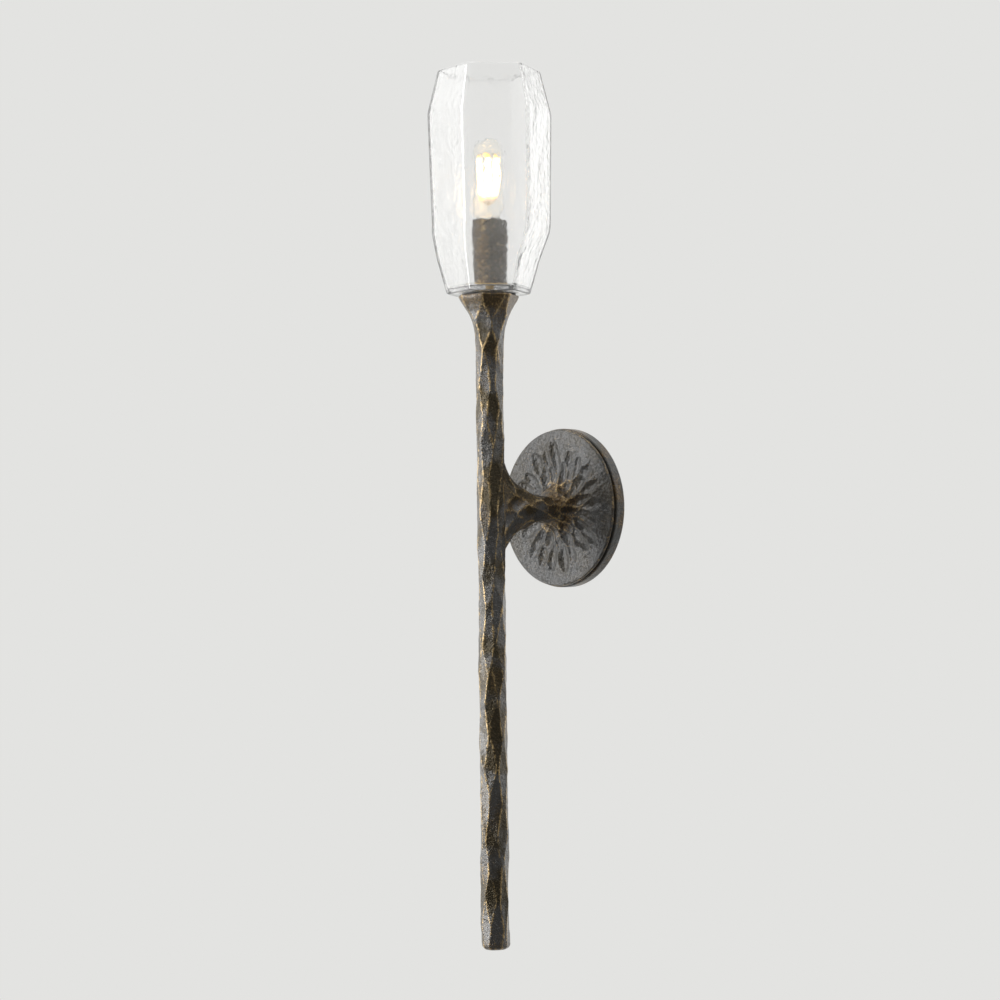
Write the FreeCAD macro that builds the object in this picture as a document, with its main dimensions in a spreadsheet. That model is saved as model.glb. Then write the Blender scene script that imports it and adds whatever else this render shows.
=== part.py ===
import FreeCAD, Part
import math
import os

import Sketcher

# Torch wall sconce. Millimetres, +Z up. The origin is the centre of the mounting bracket, on the wall:
# the wall is the plane y = 0 and the sconce stands out from it along -Y.

Vector = FreeCAD.Vector
Placement = FreeCAD.Placement
Rotation = FreeCAD.Rotation

document = FreeCAD.newDocument("torch_sconce")

# ---------------------------------------------------------------------------------------------------
# Driving dimensions
# ---------------------------------------------------------------------------------------------------

SIZES = [
    # backplate, a cast disc that is hollow at the back
    ("plate_radius", 63.5),
    ("plate_depth", 13.0),
    ("plate_rim_wall", 5.0),
    ("plate_face_wall", 4.0),
    ("plate_lip_inset", 1.0),
    ("plate_lip_width", 2.6),
    ("plate_lip_round", 1.2),
    ("plate_groove_width", 1.2),
    ("plate_groove_depth", 1.6),
    ("boss_foot_radius", 25.0),
    ("boss_length", 11.0),
    ("boss_hollow_round", 16.0),
    # sunburst of gouge cuts in the plate's face
    ("gouge_count", 26),
    ("gouge_place", 39.5),
    ("gouge_tool_radius", 4.75),
    ("gouge_depth", 1.5),
    ("gouge_sweep_radius", 30.0),
    # mounting bracket, a steel plate with bent tabs
    ("bracket_gap", 2.5),
    ("bracket_thickness", 1.6),
    ("bracket_opening_radius", 28.0),
    ("box_screw_spacing", 79.4),
    ("box_slot_length", 14.2),
    ("box_slot_width", 4.6),
    ("tab_width", 14.0),
    ("tab_length", 7.4),
    ("set_screw_radius", 1.95),
    ("set_screw_hole_radius", 2.0),
    ("set_screw_height", 5.2),
    ("set_screw_socket_radius", 1.0),
    ("set_screw_socket_depth", 2.0),
    # earthing
    ("earth_screw_place", 42.0),
    ("earth_screw_radius", 2.4),
    ("earth_head_radius", 4.4),
    ("earth_head_height", 3.0),
    ("lug_radius", 4.6),
    ("lug_thickness", 0.6),
    ("lug_barrel_length", 5.0),
    ("arm_lug_radius", 8.2),
    # torch stem, a hammered bar with a drilled upper half
    ("stem_offset", 84.0),
    ("stem_radius", 11.1),
    ("stem_bottom", 343.5),
    ("stem_foot_round", 3.0),
    ("stem_facet_length", 21.0),
    ("stem_bore_radius", 6.2),
    ("stem_bore_below", 9.0),
    # torch cup
    ("cup_top", 165.3),
    ("cup_height", 40.0),
    ("cup_radius", 23.8),
    ("cup_edge", 2.0),
    ("cup_collar", 6.0),
    ("cup_hollow_round", 52.0),
    # wall arm
    ("arm_root_height", 33.0),
    ("arm_root_place", 13.6),
    ("arm_root_width", 9.2),
    ("arm_neck_radius", 11.3),
    ("arm_neck_place", 50.0),
    ("arm_end_radius", 12.6),
    ("arm_bore_radius", 4.95),
    # threaded tubes and what they clamp
    ("nipple_radius", 4.85),
    ("nipple_bore_radius", 3.5),
    ("nipple_hole_radius", 4.9),
    ("arm_nipple_grip", 12.0),
    ("lock_washer_radius", 8.0),
    ("lock_washer_thickness", 0.8),
    ("arm_nut_width", 14.0),
    ("arm_nut_height", 2.4),
    ("bushing_wall", 0.45),
    ("bushing_length", 5.0),
    ("bushing_rim", 0.5),
    ("lamp_nipple_grip", 15.0),
    ("lamp_nipple_rise", 6.0),
    ("gasket_thickness", 0.8),
    ("gasket_radius", 21.0),
    ("shade_washer_radius", 15.0),
    ("shade_washer_thickness", 1.0),
    ("shade_nut_width", 14.3),
    ("shade_nut_height", 3.4),
    # glass shade, six-sided, as radii to its corners
    ("shade_height", 175.4),
    ("shade_foot_radius", 32.8),
    ("shade_waist_radius", 47.4),
    ("shade_shoulder_radius", 49.0),
    ("shade_rim_radius", 40.6),
    ("shade_waist_height", 48.5),
    ("shade_shoulder_height", 141.0),
    ("shade_wall", 3.2),
    ("shade_floor", 4.4),
    ("shade_hole_radius", 5.6),
    ("shade_turn", -5.5),
    # lampholder
    ("strap_thickness", 1.6),
    ("strap_width", 8.0),
    ("strap_rise", 9.5),
    ("strap_leg", 8.0),
    ("strap_screw_radius", 1.45),
    ("strap_screw_hole_radius", 1.5),
    ("strap_screw_length", 3.5),
    ("strap_head_radius", 2.3),
    ("strap_head_height", 0.9),
    ("holder_radius", 9.4),
    ("holder_height", 35.0),
    ("holder_floor", 14.0),
    ("holder_bore_radius", 6.9),
    ("shell_wall", 0.4),
    ("shell_height", 18.0),
    ("shell_clearance", 0.2),
    ("contact_thickness", 0.5),
    ("contact_width", 3.0),
    ("contact_rise", 2.5),
    ("rivet_radius", 1.0),
    ("rivet_head_radius", 1.2),
    ("rivet_place", 4.3),
    # candle sleeve
    ("sleeve_radius", 14.2),
    ("sleeve_wall", 1.5),
    ("sleeve_height", 52.0),
    # bulb, measured up from its contact tip
    ("bulb_length", 85.5),
    ("bulb_radius", 12.0),
    ("bulb_glass", 0.7),
    ("bulb_neck_radius", 4.8),
    ("bulb_shoulder_round", 9.0),
    ("bulb_shoulder_height", 30.0),
    ("cap_crest_radius", 5.95),
    ("cap_thread_depth", 0.5),
    ("cap_thread_pitch", 2.54),
    ("cap_turns", 5),
    ("cap_bottom", 4.6),
    ("cap_collar", 2.1),
    ("cap_wall", 0.35),
    ("tip_radius", 2.2),
    ("tip_height", 1.8),
    ("tip_gap", 0.3),
    ("bulb_post_radius", 2.0),
    ("bulb_post_height", 33.0),
    ("filament_radius", 0.8),
    ("filament_length", 35.0),
    ("filament_foot_place", 5.6),
    ("filament_top_place", 7.4),
    ("filament_gap", 4.0),
    ("filament_count", 4),
    ("support_wire_radius", 0.35),
    # leads
    ("lead_radius", 1.0),
    ("lead_core_radius", 0.45),
    ("lead_spacing", 1.45),
    ("lead_entry", 3.0),
    ("lead_bend", 9.5),
    ("lead_exit_bend", 3.0),
    ("lead_drop", 13.0),
    ("lead_tail_bend", 6.0),
    ("lead_tail", 7.0),
    ("lead_bare_length", 6.0),
    # running and assembly clearances
    ("clearance", 0.1),
]

sheet = document.addObject("Spreadsheet::Sheet", "sizes")
for row, (alias, number) in enumerate(SIZES, start=1):
    sheet.set("A%d" % row, str(number))
    sheet.setAlias("A%d" % row, alias)
document.recompute()

# Places that follow from the sizes: heights above the bracket's centre, distances from the wall, and
# radii that one piece takes from another.

PLACES = [
    ("axis_y", "-sizes.stem_offset"),
    # out from the wall
    ("cavity_depth", "sizes.plate_depth - sizes.plate_face_wall"),
    ("cavity_radius", "sizes.plate_radius - sizes.plate_rim_wall"),
    ("bracket_radius", "cavity_radius - sizes.bracket_gap"),
    ("lip_radius", "sizes.plate_radius - sizes.plate_lip_inset"),
    ("groove_front", "sizes.plate_depth - sizes.plate_lip_width"),
    ("groove_back", "groove_front - sizes.plate_groove_width"),
    ("boss_top", "sizes.plate_depth + sizes.boss_length"),
    ("washer_face", "cavity_depth - sizes.lock_washer_thickness"),
    ("lug_face", "washer_face - sizes.lug_thickness"),
    ("arm_nut_face", "lug_face - sizes.arm_nut_height"),
    ("arm_nipple_start", "arm_nut_face - sizes.bushing_rim"),
    ("arm_nipple_end", "boss_top + sizes.arm_nipple_grip"),
    ("arm_length", "sizes.stem_offset - boss_top"),
    ("lead_lay", "sizes.lead_radius + sizes.clearance"),
    # up the lamp's axis
    ("cup_bottom", "sizes.cup_top - sizes.cup_height"),
    ("shade_bottom", "sizes.cup_top + sizes.gasket_thickness"),
    ("shade_inside", "shade_bottom + sizes.shade_floor"),
    ("sleeve_seat", "shade_inside + sizes.shade_washer_thickness"),
    ("nut_top", "sleeve_seat + sizes.shade_nut_height"),
    ("lamp_nipple_bottom", "sizes.cup_top - sizes.lamp_nipple_grip"),
    ("lamp_nipple_top", "nut_top + sizes.strap_thickness + sizes.lamp_nipple_rise"),
    ("holder_bottom", "nut_top + sizes.strap_thickness + sizes.strap_rise"),
    ("holder_seat", "holder_bottom + sizes.holder_floor"),
    ("contact_top", "holder_seat + sizes.contact_thickness + sizes.contact_rise"),
    ("bulb_bottom", "contact_top + sizes.tip_gap"),
    ("lead_top", "holder_bottom + sizes.lead_entry"),
    ("strap_screw_height", "holder_bottom + sizes.strap_leg / 2"),
    # the bulb's own heights
    ("cap_top", "sizes.cap_bottom + sizes.cap_turns * sizes.cap_thread_pitch + sizes.cap_collar"),
    ("cap_valley_radius", "sizes.cap_crest_radius - sizes.cap_thread_depth"),
    ("cap_inside_radius", "cap_valley_radius - sizes.cap_wall"),
    ("envelope_bottom", "sizes.cap_bottom + 4 * sizes.cap_thread_pitch"),
    ("filament_foot", "sizes.bulb_post_height + sizes.filament_gap"),
    ("filament_top", "filament_foot + sizes.filament_length"),
    # radii that fit each other
    ("shell_radius", "sizes.holder_bore_radius - sizes.shell_clearance"),
    ("shell_inside_radius", "shell_radius - sizes.shell_wall"),
    ("lead_hole_radius", "sizes.lead_radius + sizes.clearance"),
]

places = document.addObject("App::VarSet", "places")
for name, formula in PLACES:
    places.addProperty("App::PropertyFloat", name, "Places", "follows from the sizes")
    places.setExpression(name, formula)
document.recompute()


def value(formula):
    return float(sheet.evalExpression(str(formula)))


# ---------------------------------------------------------------------------------------------------
# Ways of making a piece
# ---------------------------------------------------------------------------------------------------

SUBPARTS = []


def keep(feature, label):
    feature.Label = label
    SUBPARTS.append(feature)
    return feature


def place(feature, x="0", y="places.axis_y", z="0", turn=None):
    # Bind a piece's place to the sizes. turn is an optional (axis, degrees) pair.
    if turn:
        feature.Placement = Placement(Vector(0, 0, 0), Rotation(turn[0], turn[1]))
    feature.setExpression("Placement.Base.x", x)
    feature.setExpression("Placement.Base.y", y)
    feature.setExpression("Placement.Base.z", z)
    return feature


OUT_OF_WALL = (Vector(1, 0, 0), 90)


def bind(sketch, constraint, name, formula):
    index = sketch.addConstraint(constraint)
    sketch.renameConstraint(index, name)
    sketch.setExpression("Constraints." + name, str(formula))


def arc_edge(start, end, radius):
    # The short arc from start to end. A positive radius bulges to the right of that way, a negative
    # one to the left. The arc itself always runs anticlockwise, as a sketch keeps it.
    if radius < 0:
        start, end = end, start
    chord = end - start
    size = max(abs(radius), chord.Length / 2)
    rise = math.sqrt(max(size**2 - (chord.Length / 2) ** 2, 0))
    centre = (start + end) / 2 + Vector(-chord.y, chord.x, 0).normalize() * rise
    first = math.atan2(start.y - centre.y, start.x - centre.x)
    last = math.atan2(end.y - centre.y, end.x - centre.x)
    if last < first:
        last += 2 * math.pi
    return Part.ArcOfCircle(Part.Circle(centre, Vector(0, 0, 1), size), first, last)


def outline(body, points, name="outline", plane="XZ_Plane"):
    # A closed sketch through the points, each (across, up) or (across, up, radius) where an arc arrives.
    sketch = body.newObject("Sketcher::SketchObject", name)
    support = [f for f in body.Origin.OriginFeatures if f.Role == plane][0]
    sketch.AttachmentSupport = [(support, "")]
    sketch.MapMode = "FlatFace"
    spots = [Vector(value(p[0]), value(p[1]), 0) for p in points]
    joints = []
    for index, point in enumerate(points):
        start = spots[index - 1]
        end = spots[index]
        if len(point) == 2:
            sketch.addGeometry(Part.LineSegment(start, end), False)
            joints.append((1, 2))
            continue
        radius = value(point[2])
        sketch.addGeometry(arc_edge(start, end, radius), False)
        joints.append((1, 2) if radius > 0 else (2, 1))
    for index in range(len(points)):
        following = (index + 1) % len(points)
        sketch.addConstraint(
            Sketcher.Constraint("Coincident", index, joints[index][1], following, joints[following][0])
        )
    for index, point in enumerate(points):
        end = joints[index][1]
        across = Sketcher.Constraint("DistanceX", -1, 1, index, end, spots[index].x)
        bind(sketch, across, "across%d" % index, point[0])
        up = Sketcher.Constraint("DistanceY", -1, 1, index, end, spots[index].y)
        bind(sketch, up, "up%d" % index, point[1])
        if len(point) == 3:
            size = Sketcher.Constraint("Radius", index, abs(value(point[2])))
            bind(sketch, size, "round%d" % index, "abs(%s)" % point[2])
    return sketch


def turned(label, points, x="0", y="places.axis_y", z="0", turn=None):
    # A piece turned about its own upright axis.
    body = document.addObject("PartDesign::Body", label + "_body")
    sketch = outline(body, points)
    revolution = body.newObject("PartDesign::Revolution", "turned")
    revolution.Profile = sketch
    revolution.ReferenceAxis = (sketch, ["V_Axis"])
    revolution.Angle = 360
    place(body, x, y, z, turn)
    return keep(body, label)


def ring(label, outer, inner, height, z, y="places.axis_y", turn=None):
    points = [(inner, "0"), (outer, "0"), (outer, height), (inner, height)]
    return turned(label, points, y=y, z=z, turn=turn)


def hex_nut(label, width, bore, height, z="0", y="places.axis_y", turn=None):
    # A six-sided nut: a padded hexagon with a round bore.
    body = document.addObject("PartDesign::Body", label + "_body")
    corner = "(%s) / 2 / cos(30 deg)" % width
    points = [
        ("%s * cos(%d deg)" % (corner, 60 * side), "%s * sin(%d deg)" % (corner, 60 * side))
        for side in range(6)
    ]
    sketch = outline(body, points, plane="XY_Plane")
    pad = body.newObject("PartDesign::Pad", "height")
    pad.Profile = sketch
    pad.setExpression("Length", height)
    hole = body.newObject("Sketcher::SketchObject", "bore")
    support = [f for f in body.Origin.OriginFeatures if f.Role == "XY_Plane"][0]
    hole.AttachmentSupport = [(support, "")]
    hole.MapMode = "FlatFace"
    hole.addGeometry(Part.Circle(Vector(0, 0, 0), Vector(0, 0, 1), value(bore)), False)
    hole.addConstraint(Sketcher.Constraint("Coincident", 0, 3, -1, 1))
    bind(hole, Sketcher.Constraint("Radius", 0, value(bore)), "bore", bore)
    pocket = body.newObject("PartDesign::Pocket", "bored")
    pocket.Profile = hole
    pocket.Type = "ThroughAll"
    pocket.Reversed = True
    place(body, y=y, z=z, turn=turn)
    return keep(body, label)


def rod(name, radius, length, x="0", y="places.axis_y", z="0", turn=None):
    # A plain round rod, used on its own or as a cutter. It runs up from its place unless it is turned.
    cylinder = document.addObject("Part::Cylinder", name)
    cylinder.setExpression("Radius", radius)
    cylinder.setExpression("Height", length)
    return place(cylinder, x, y, z, turn)


def block(name, length, width, height, x, y, z):
    box = document.addObject("Part::Box", name)
    box.setExpression("Length", length)
    box.setExpression("Width", width)
    box.setExpression("Height", height)
    return place(box, x, y, z)


def fused(name, shapes):
    union = document.addObject("Part::MultiFuse", name)
    union.Shapes = shapes
    return union


def cut(name, base, tools):
    # base without the tools, each of which is a piece's own cutter.
    result = document.addObject("Part::Cut", name)
    result.Base = base
    result.Tool = tools[0] if len(tools) == 1 else fused(name + "_cutters", tools)
    return result


def solid_feature(label, shape):
    feature = document.addObject("Part::Feature", label + "_shape")
    feature.Shape = shape
    return feature


# ---------------------------------------------------------------------------------------------------
# Chiselled castings: rings of corners, each turned half a step from the last, joined by flat facets
# ---------------------------------------------------------------------------------------------------


def facets(rings):
    sides = len(rings[0])
    faces = []
    for level, (lower, upper) in enumerate(zip(rings, rings[1:])):
        for side in range(sides):
            after = (side + 1) % sides
            if level % 2 == 0:
                corners = [
                    (lower[side], lower[after], upper[side]),
                    (lower[after], upper[after], upper[side]),
                ]
            else:
                corners = [
                    (lower[side], upper[after], upper[side]),
                    (lower[side], lower[after], upper[after]),
                ]
            for triangle in corners:
                faces.append(Part.Face(Part.makePolygon(list(triangle) + [triangle[0]])))
    for end in (rings[0], rings[-1]):
        faces.append(Part.Face(Part.makePolygon(end + [end[0]])))
    return Part.makeSolid(Part.makeShell(faces))


STEM_SIDES = 8
ARM_SIDES = 8


def stem_ring(height, radius, level):
    centre = Vector(0, value("places.axis_y"), height)
    half_step = 0.5 * (level % 2)
    corners = []
    for side in range(STEM_SIDES):
        angle = 2 * math.pi * (side + half_step) / STEM_SIDES
        corners.append(centre + Vector(math.cos(angle), math.sin(angle), 0) * radius)
    return corners


def stem_bar():
    # Hammer facets of uneven length: the rings drift a little from even spacing, and their radius too.
    bottom = -value("sizes.stem_bottom")
    top = value("places.cup_bottom")
    radius = value("sizes.stem_radius")
    foot = value("sizes.stem_foot_round")
    count = max(int(round((top - bottom - foot) / value("sizes.stem_facet_length"))), 3)
    step = (top - bottom - foot) / count
    rings = [stem_ring(bottom, radius - foot / 2, 1)]
    for level in range(count + 1):
        drift = step * 0.22 * math.sin(2.4 * level) if 0 < level < count else 0
        swell = radius * 0.02 * math.sin(1.7 * level)
        rings.append(stem_ring(bottom + foot + step * level + drift, radius + swell, level))
    return facets(rings)


def arm_half_height(along):
    # Half the arm's height at a distance from the stem's axis: a wide root that curves in to the neck.
    neck = value("sizes.arm_neck_radius")
    span = value("sizes.arm_neck_place") - value("sizes.arm_root_place")
    short = max(value("sizes.arm_neck_place") - along, 0) / span
    return neck + (value("sizes.arm_root_height") - neck) * short**2


def arm_ring(along, level):
    neck_place = value("sizes.arm_neck_place")
    length = value("places.arm_length")
    past_neck = max(along - neck_place, 0) / max(length - neck_place, 1)
    spread = (value("sizes.arm_end_radius") - value("sizes.arm_neck_radius")) * past_neck
    height = arm_half_height(along) + spread
    root_share = max(neck_place - along, 0) / neck_place
    width = value("sizes.arm_neck_radius") + spread
    width -= (value("sizes.arm_neck_radius") - value("sizes.arm_root_width")) * root_share
    half_step = 0.5 * (level % 2)
    corners = []
    for side in range(ARM_SIDES):
        angle = 2 * math.pi * (side + half_step) / ARM_SIDES
        spot = Vector(width * math.cos(angle), along, height * math.sin(angle))
        corners.append(spot + Vector(0, value("places.axis_y"), 0))
    return corners


ARM_RINGS = 8


def arm_block():
    start = value("sizes.stem_radius") / 3
    end = value("places.arm_length")
    rings = []
    for level in range(ARM_RINGS + 1):
        share = level / ARM_RINGS
        rings.append(arm_ring(start + (end - start) * share, level))
    return facets(rings)


stem_solid = stem_bar()
stem_blank = solid_feature("stem_blank", stem_solid)
stem_bore_depth = "places.cup_bottom + sizes.stem_bore_below"
stem_bore = rod("stem_bore", "sizes.stem_bore_radius", stem_bore_depth, z="-sizes.stem_bore_below")
arm_port = rod("arm_port", "sizes.arm_bore_radius", "sizes.stem_offset / 2", turn=(Vector(1, 0, 0), -90))
keep(cut("torch_stem_cut", stem_blank, [stem_bore, arm_port]), "torch_stem")

arm_blank = solid_feature("arm_blank", arm_block().cut(stem_solid))
arm_bore = rod("arm_bore", "sizes.arm_bore_radius", "sizes.stem_offset", turn=(Vector(1, 0, 0), -90))
keep(cut("wall_arm_cut", arm_blank, [arm_bore]), "wall_arm")

turned(
    "torch_cup",
    [
        ("sizes.nipple_hole_radius", "0"),
        ("sizes.stem_radius", "0"),
        ("sizes.stem_radius", "sizes.cup_collar"),
        ("sizes.cup_radius", "sizes.cup_height - sizes.cup_edge", "-sizes.cup_hollow_round"),
        ("sizes.cup_radius", "sizes.cup_height"),
        ("sizes.nipple_hole_radius", "sizes.cup_height"),
    ],
    z="places.cup_bottom",
)

# ---------------------------------------------------------------------------------------------------
# Backplate
# ---------------------------------------------------------------------------------------------------

plate_blank = turned(
    "plate_blank",
    [
        ("sizes.nipple_hole_radius", "places.cavity_depth"),
        ("places.cavity_radius", "places.cavity_depth"),
        ("places.cavity_radius", "0"),
        ("sizes.plate_radius", "0"),
        ("sizes.plate_radius", "places.groove_back - sizes.plate_lip_round"),
        (
            "sizes.plate_radius - sizes.plate_lip_round",
            "places.groove_back",
            "sizes.plate_lip_round",
        ),
        ("sizes.plate_radius - sizes.plate_groove_depth - sizes.plate_lip_inset", "places.groove_back"),
        ("sizes.plate_radius - sizes.plate_groove_depth - sizes.plate_lip_inset", "places.groove_front"),
        ("places.lip_radius", "places.groove_front"),
        ("places.lip_radius", "sizes.plate_depth - sizes.plate_lip_round"),
        ("places.lip_radius - sizes.plate_lip_round", "sizes.plate_depth", "sizes.plate_lip_round"),
        ("sizes.boss_foot_radius", "sizes.plate_depth"),
        ("sizes.arm_end_radius", "places.boss_top", "-sizes.boss_hollow_round"),
        ("sizes.nipple_hole_radius", "places.boss_top"),
    ],
    y="0",
    turn=OUT_OF_WALL,
)
SUBPARTS.remove(plate_blank)


def gouge_stroke(angle):
    # One stroke of a gouge: a ring-shaped tool whose low side dips into the face along a radius.
    depth = value("sizes.gouge_depth")
    sweep = value("sizes.gouge_sweep_radius")
    width = value("sizes.gouge_tool_radius")
    face = value("sizes.plate_depth")
    reach = sweep + width
    tool = Part.makeTorus(sweep, width, Vector(0, 0, 0), Vector(1, 0, 0))
    tool.translate(Vector(0, -(face + reach - depth), value("sizes.gouge_place")))
    slab = Part.makeBox(4 * width, 1.3 * depth, 2 * reach)
    slab.translate(Vector(-2 * width, -(face + 0.3 * depth), value("sizes.gouge_place") - reach))
    lens = tool.common(slab)
    lens.rotate(Vector(0, 0, 0), Vector(0, 1, 0), angle)
    return lens


gouge_count = int(value("sizes.gouge_count"))
strokes = [gouge_stroke(360 * stroke / gouge_count) for stroke in range(gouge_count)]
sunburst = solid_feature("sunburst", Part.makeCompound(strokes))
chiselled_plate = cut("chiselled_plate", plate_blank, [sunburst])

set_screw_reach = "sizes.plate_rim_wall + 2"
set_screw_holes = [
    rod(
        "set_screw_hole_%s" % name,
        "sizes.set_screw_hole_radius",
        set_screw_reach,
        y="-sizes.set_screw_height",
        z=height,
    )
    for name, height in [
        ("top", "places.cavity_radius - 1"),
        ("bottom", "-places.cavity_radius + 1 - (%s)" % set_screw_reach),
    ]
]
keep(cut("backplate_cut", chiselled_plate, set_screw_holes), "backplate")

# ---------------------------------------------------------------------------------------------------
# Mounting bracket, its set screws and the earthing
# ---------------------------------------------------------------------------------------------------

bracket_disc = cut(
    "bracket_disc",
    rod("bracket_round", "places.bracket_radius", "sizes.bracket_thickness", y="0", turn=OUT_OF_WALL),
    [
        rod(
            "wire_opening",
            "sizes.bracket_opening_radius",
            "sizes.bracket_thickness",
            y="0",
            turn=OUT_OF_WALL,
        )
    ],
)
tabs = [
    block(
        "tab_%s" % name,
        "sizes.tab_width",
        "sizes.tab_length",
        "sizes.bracket_thickness",
        "-sizes.tab_width / 2",
        "-sizes.tab_length",
        low,
    )
    for name, low in [
        ("top", "places.bracket_radius - sizes.bracket_thickness"),
        ("bottom", "-places.bracket_radius"),
    ]
]


def box_slot(name, side):
    # A slot for a box screw: a block with a round at each end, upright.
    straight = "(sizes.box_slot_length - sizes.box_slot_width)"
    middle = "(%d * sizes.box_screw_spacing / 2)" % side
    deep = "sizes.bracket_thickness"
    slot = [
        block(
            name + "_middle",
            "sizes.box_slot_width",
            deep,
            straight,
            "-sizes.box_slot_width / 2",
            "-" + deep,
            "%s - %s / 2" % (middle, straight),
        )
    ]
    for end in (-1, 1):
        slot.append(
            rod(
                "%s_end_%d" % (name, end + 1),
                "sizes.box_slot_width / 2",
                deep,
                y="0",
                z="%s + %d * %s / 2" % (middle, end, straight),
                turn=OUT_OF_WALL,
            )
        )
    return slot


earth_hole = rod(
    "earth_hole",
    "sizes.earth_screw_radius + sizes.clearance / 2",
    "sizes.bracket_thickness",
    x="-sizes.earth_screw_place",
    y="0",
    turn=OUT_OF_WALL,
)
bracket_blank = fused("bracket_blank", [bracket_disc] + tabs)
bracket_cutters = box_slot("upper_slot", 1) + box_slot("lower_slot", -1) + [earth_hole]
keep(cut("bracket_cut", bracket_blank, bracket_cutters), "mounting_bracket")


def set_screw(name, side):
    # A headless screw in the rim: its inner end bears on the bracket's tab.
    length = "sizes.plate_radius - places.bracket_radius - sizes.clearance * 4"
    low = "places.bracket_radius" if side > 0 else "-places.bracket_radius - (%s)" % length
    shank = rod(name, "sizes.set_screw_radius", length, y="-sizes.set_screw_height", z=low)
    socket = document.addObject("Part::Prism", name + "_socket")
    socket.Polygon = 6
    socket.setExpression("Circumradius", "sizes.set_screw_socket_radius")
    socket.setExpression("Height", "sizes.set_screw_socket_depth")
    outer = "places.bracket_radius + %s - sizes.set_screw_socket_depth" % length
    inner = "-places.bracket_radius - (%s)" % length
    place(socket, y="-sizes.set_screw_height", z=outer if side > 0 else inner)
    return cut(name + "_cut", shank, [socket])


rim_set_screws = document.addObject("Part::Compound", "rim_set_screws_pair")
rim_set_screws.Links = [set_screw("set_screw_top", 1), set_screw("set_screw_bottom", -1)]
keep(rim_set_screws, "rim_set_screws")

earth_head_seat = "sizes.bracket_thickness + sizes.lug_thickness"
earth_screw_blank = turned(
    "earth_screw_blank",
    [
        ("0", "0"),
        ("sizes.earth_screw_radius", "0"),
        ("sizes.earth_screw_radius", earth_head_seat),
        ("sizes.earth_head_radius", earth_head_seat),
        ("sizes.earth_head_radius", earth_head_seat + " + sizes.earth_head_height"),
        ("0", earth_head_seat + " + sizes.earth_head_height"),
    ],
    x="-sizes.earth_screw_place",
    y="0",
    turn=OUT_OF_WALL,
)
SUBPARTS.remove(earth_screw_blank)
driver_slot = block(
    "driver_slot",
    "sizes.earth_head_radius * 2",
    "sizes.earth_head_height / 2",
    "sizes.earth_screw_radius / 2",
    "-sizes.earth_screw_place - sizes.earth_head_radius",
    "-(%s + sizes.earth_head_height)" % earth_head_seat,
    "-sizes.earth_screw_radius / 4",
)
keep(cut("earth_screw_cut", earth_screw_blank, [driver_slot]), "earth_screw")

ALONG_X = (Vector(0, 1, 0), 90)
BARREL_WALL = "sizes.lug_thickness"
BARREL_RADIUS = "(places.lead_hole_radius + %s)" % BARREL_WALL


def ring_lug(label, centre_x, ring_radius, hole_radius, face, side, barrel_y):
    # A crimped ring terminal: a flat ring, a tongue, and a barrel that holds the lead. face is how far
    # its wall side stands from the wall.
    flat = "sizes.lug_thickness"
    disc = rod(label + "_ring", ring_radius, flat, x=centre_x, y="-(%s)" % face, turn=OUT_OF_WALL)
    barrel_start = "%s + %d * (%s)" % (centre_x, side, ring_radius)
    barrel_low = barrel_start if side > 0 else "%s - sizes.lug_barrel_length" % barrel_start
    tongue_length = "(%s) / 2 + 1" % ring_radius
    tongue_low = "%s - (%s)" % (barrel_start, tongue_length) if side > 0 else barrel_start
    tongue = block(
        label + "_tongue",
        tongue_length + " + 1",
        flat,
        "sizes.lead_radius * 2",
        tongue_low if side > 0 else tongue_low + " - 1",
        "-(%s) - sizes.lug_thickness" % face,
        "-sizes.lead_radius",
    )
    barrel = rod(
        label + "_barrel", BARREL_RADIUS, "sizes.lug_barrel_length", x=barrel_low, y=barrel_y, turn=ALONG_X
    )
    ring_hole = rod(
        label + "_hole", hole_radius, "%s * 3" % flat, x=centre_x, y="-(%s) + %s" % (face, flat),
        turn=OUT_OF_WALL,
    )
    barrel_hole = rod(
        label + "_bore",
        "places.lead_hole_radius",
        "sizes.lug_barrel_length + 2",
        x="%s - 1" % barrel_low,
        y=barrel_y,
        turn=ALONG_X,
    )
    blank = fused(label + "_blank", [disc, tongue, barrel])
    return keep(cut(label + "_cut", blank, [ring_hole, barrel_hole]), label)


bracket_lug_x = "-sizes.earth_screw_place"
bracket_barrel_y = "-(sizes.bracket_thickness + %s)" % BARREL_RADIUS
arm_barrel_y = "-(places.cavity_depth - %s)" % BARREL_RADIUS
ring_lug(
    "bracket_earth_lug",
    bracket_lug_x,
    "sizes.lug_radius",
    "sizes.earth_screw_radius + sizes.clearance",
    "sizes.bracket_thickness",
    1,
    bracket_barrel_y,
)
ring_lug(
    "arm_earth_lug",
    "0",
    "sizes.arm_lug_radius",
    "sizes.nipple_radius + sizes.clearance",
    "places.lug_face",
    -1,
    arm_barrel_y,
)

# ---------------------------------------------------------------------------------------------------
# What holds the arm to the backplate
# ---------------------------------------------------------------------------------------------------

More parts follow.
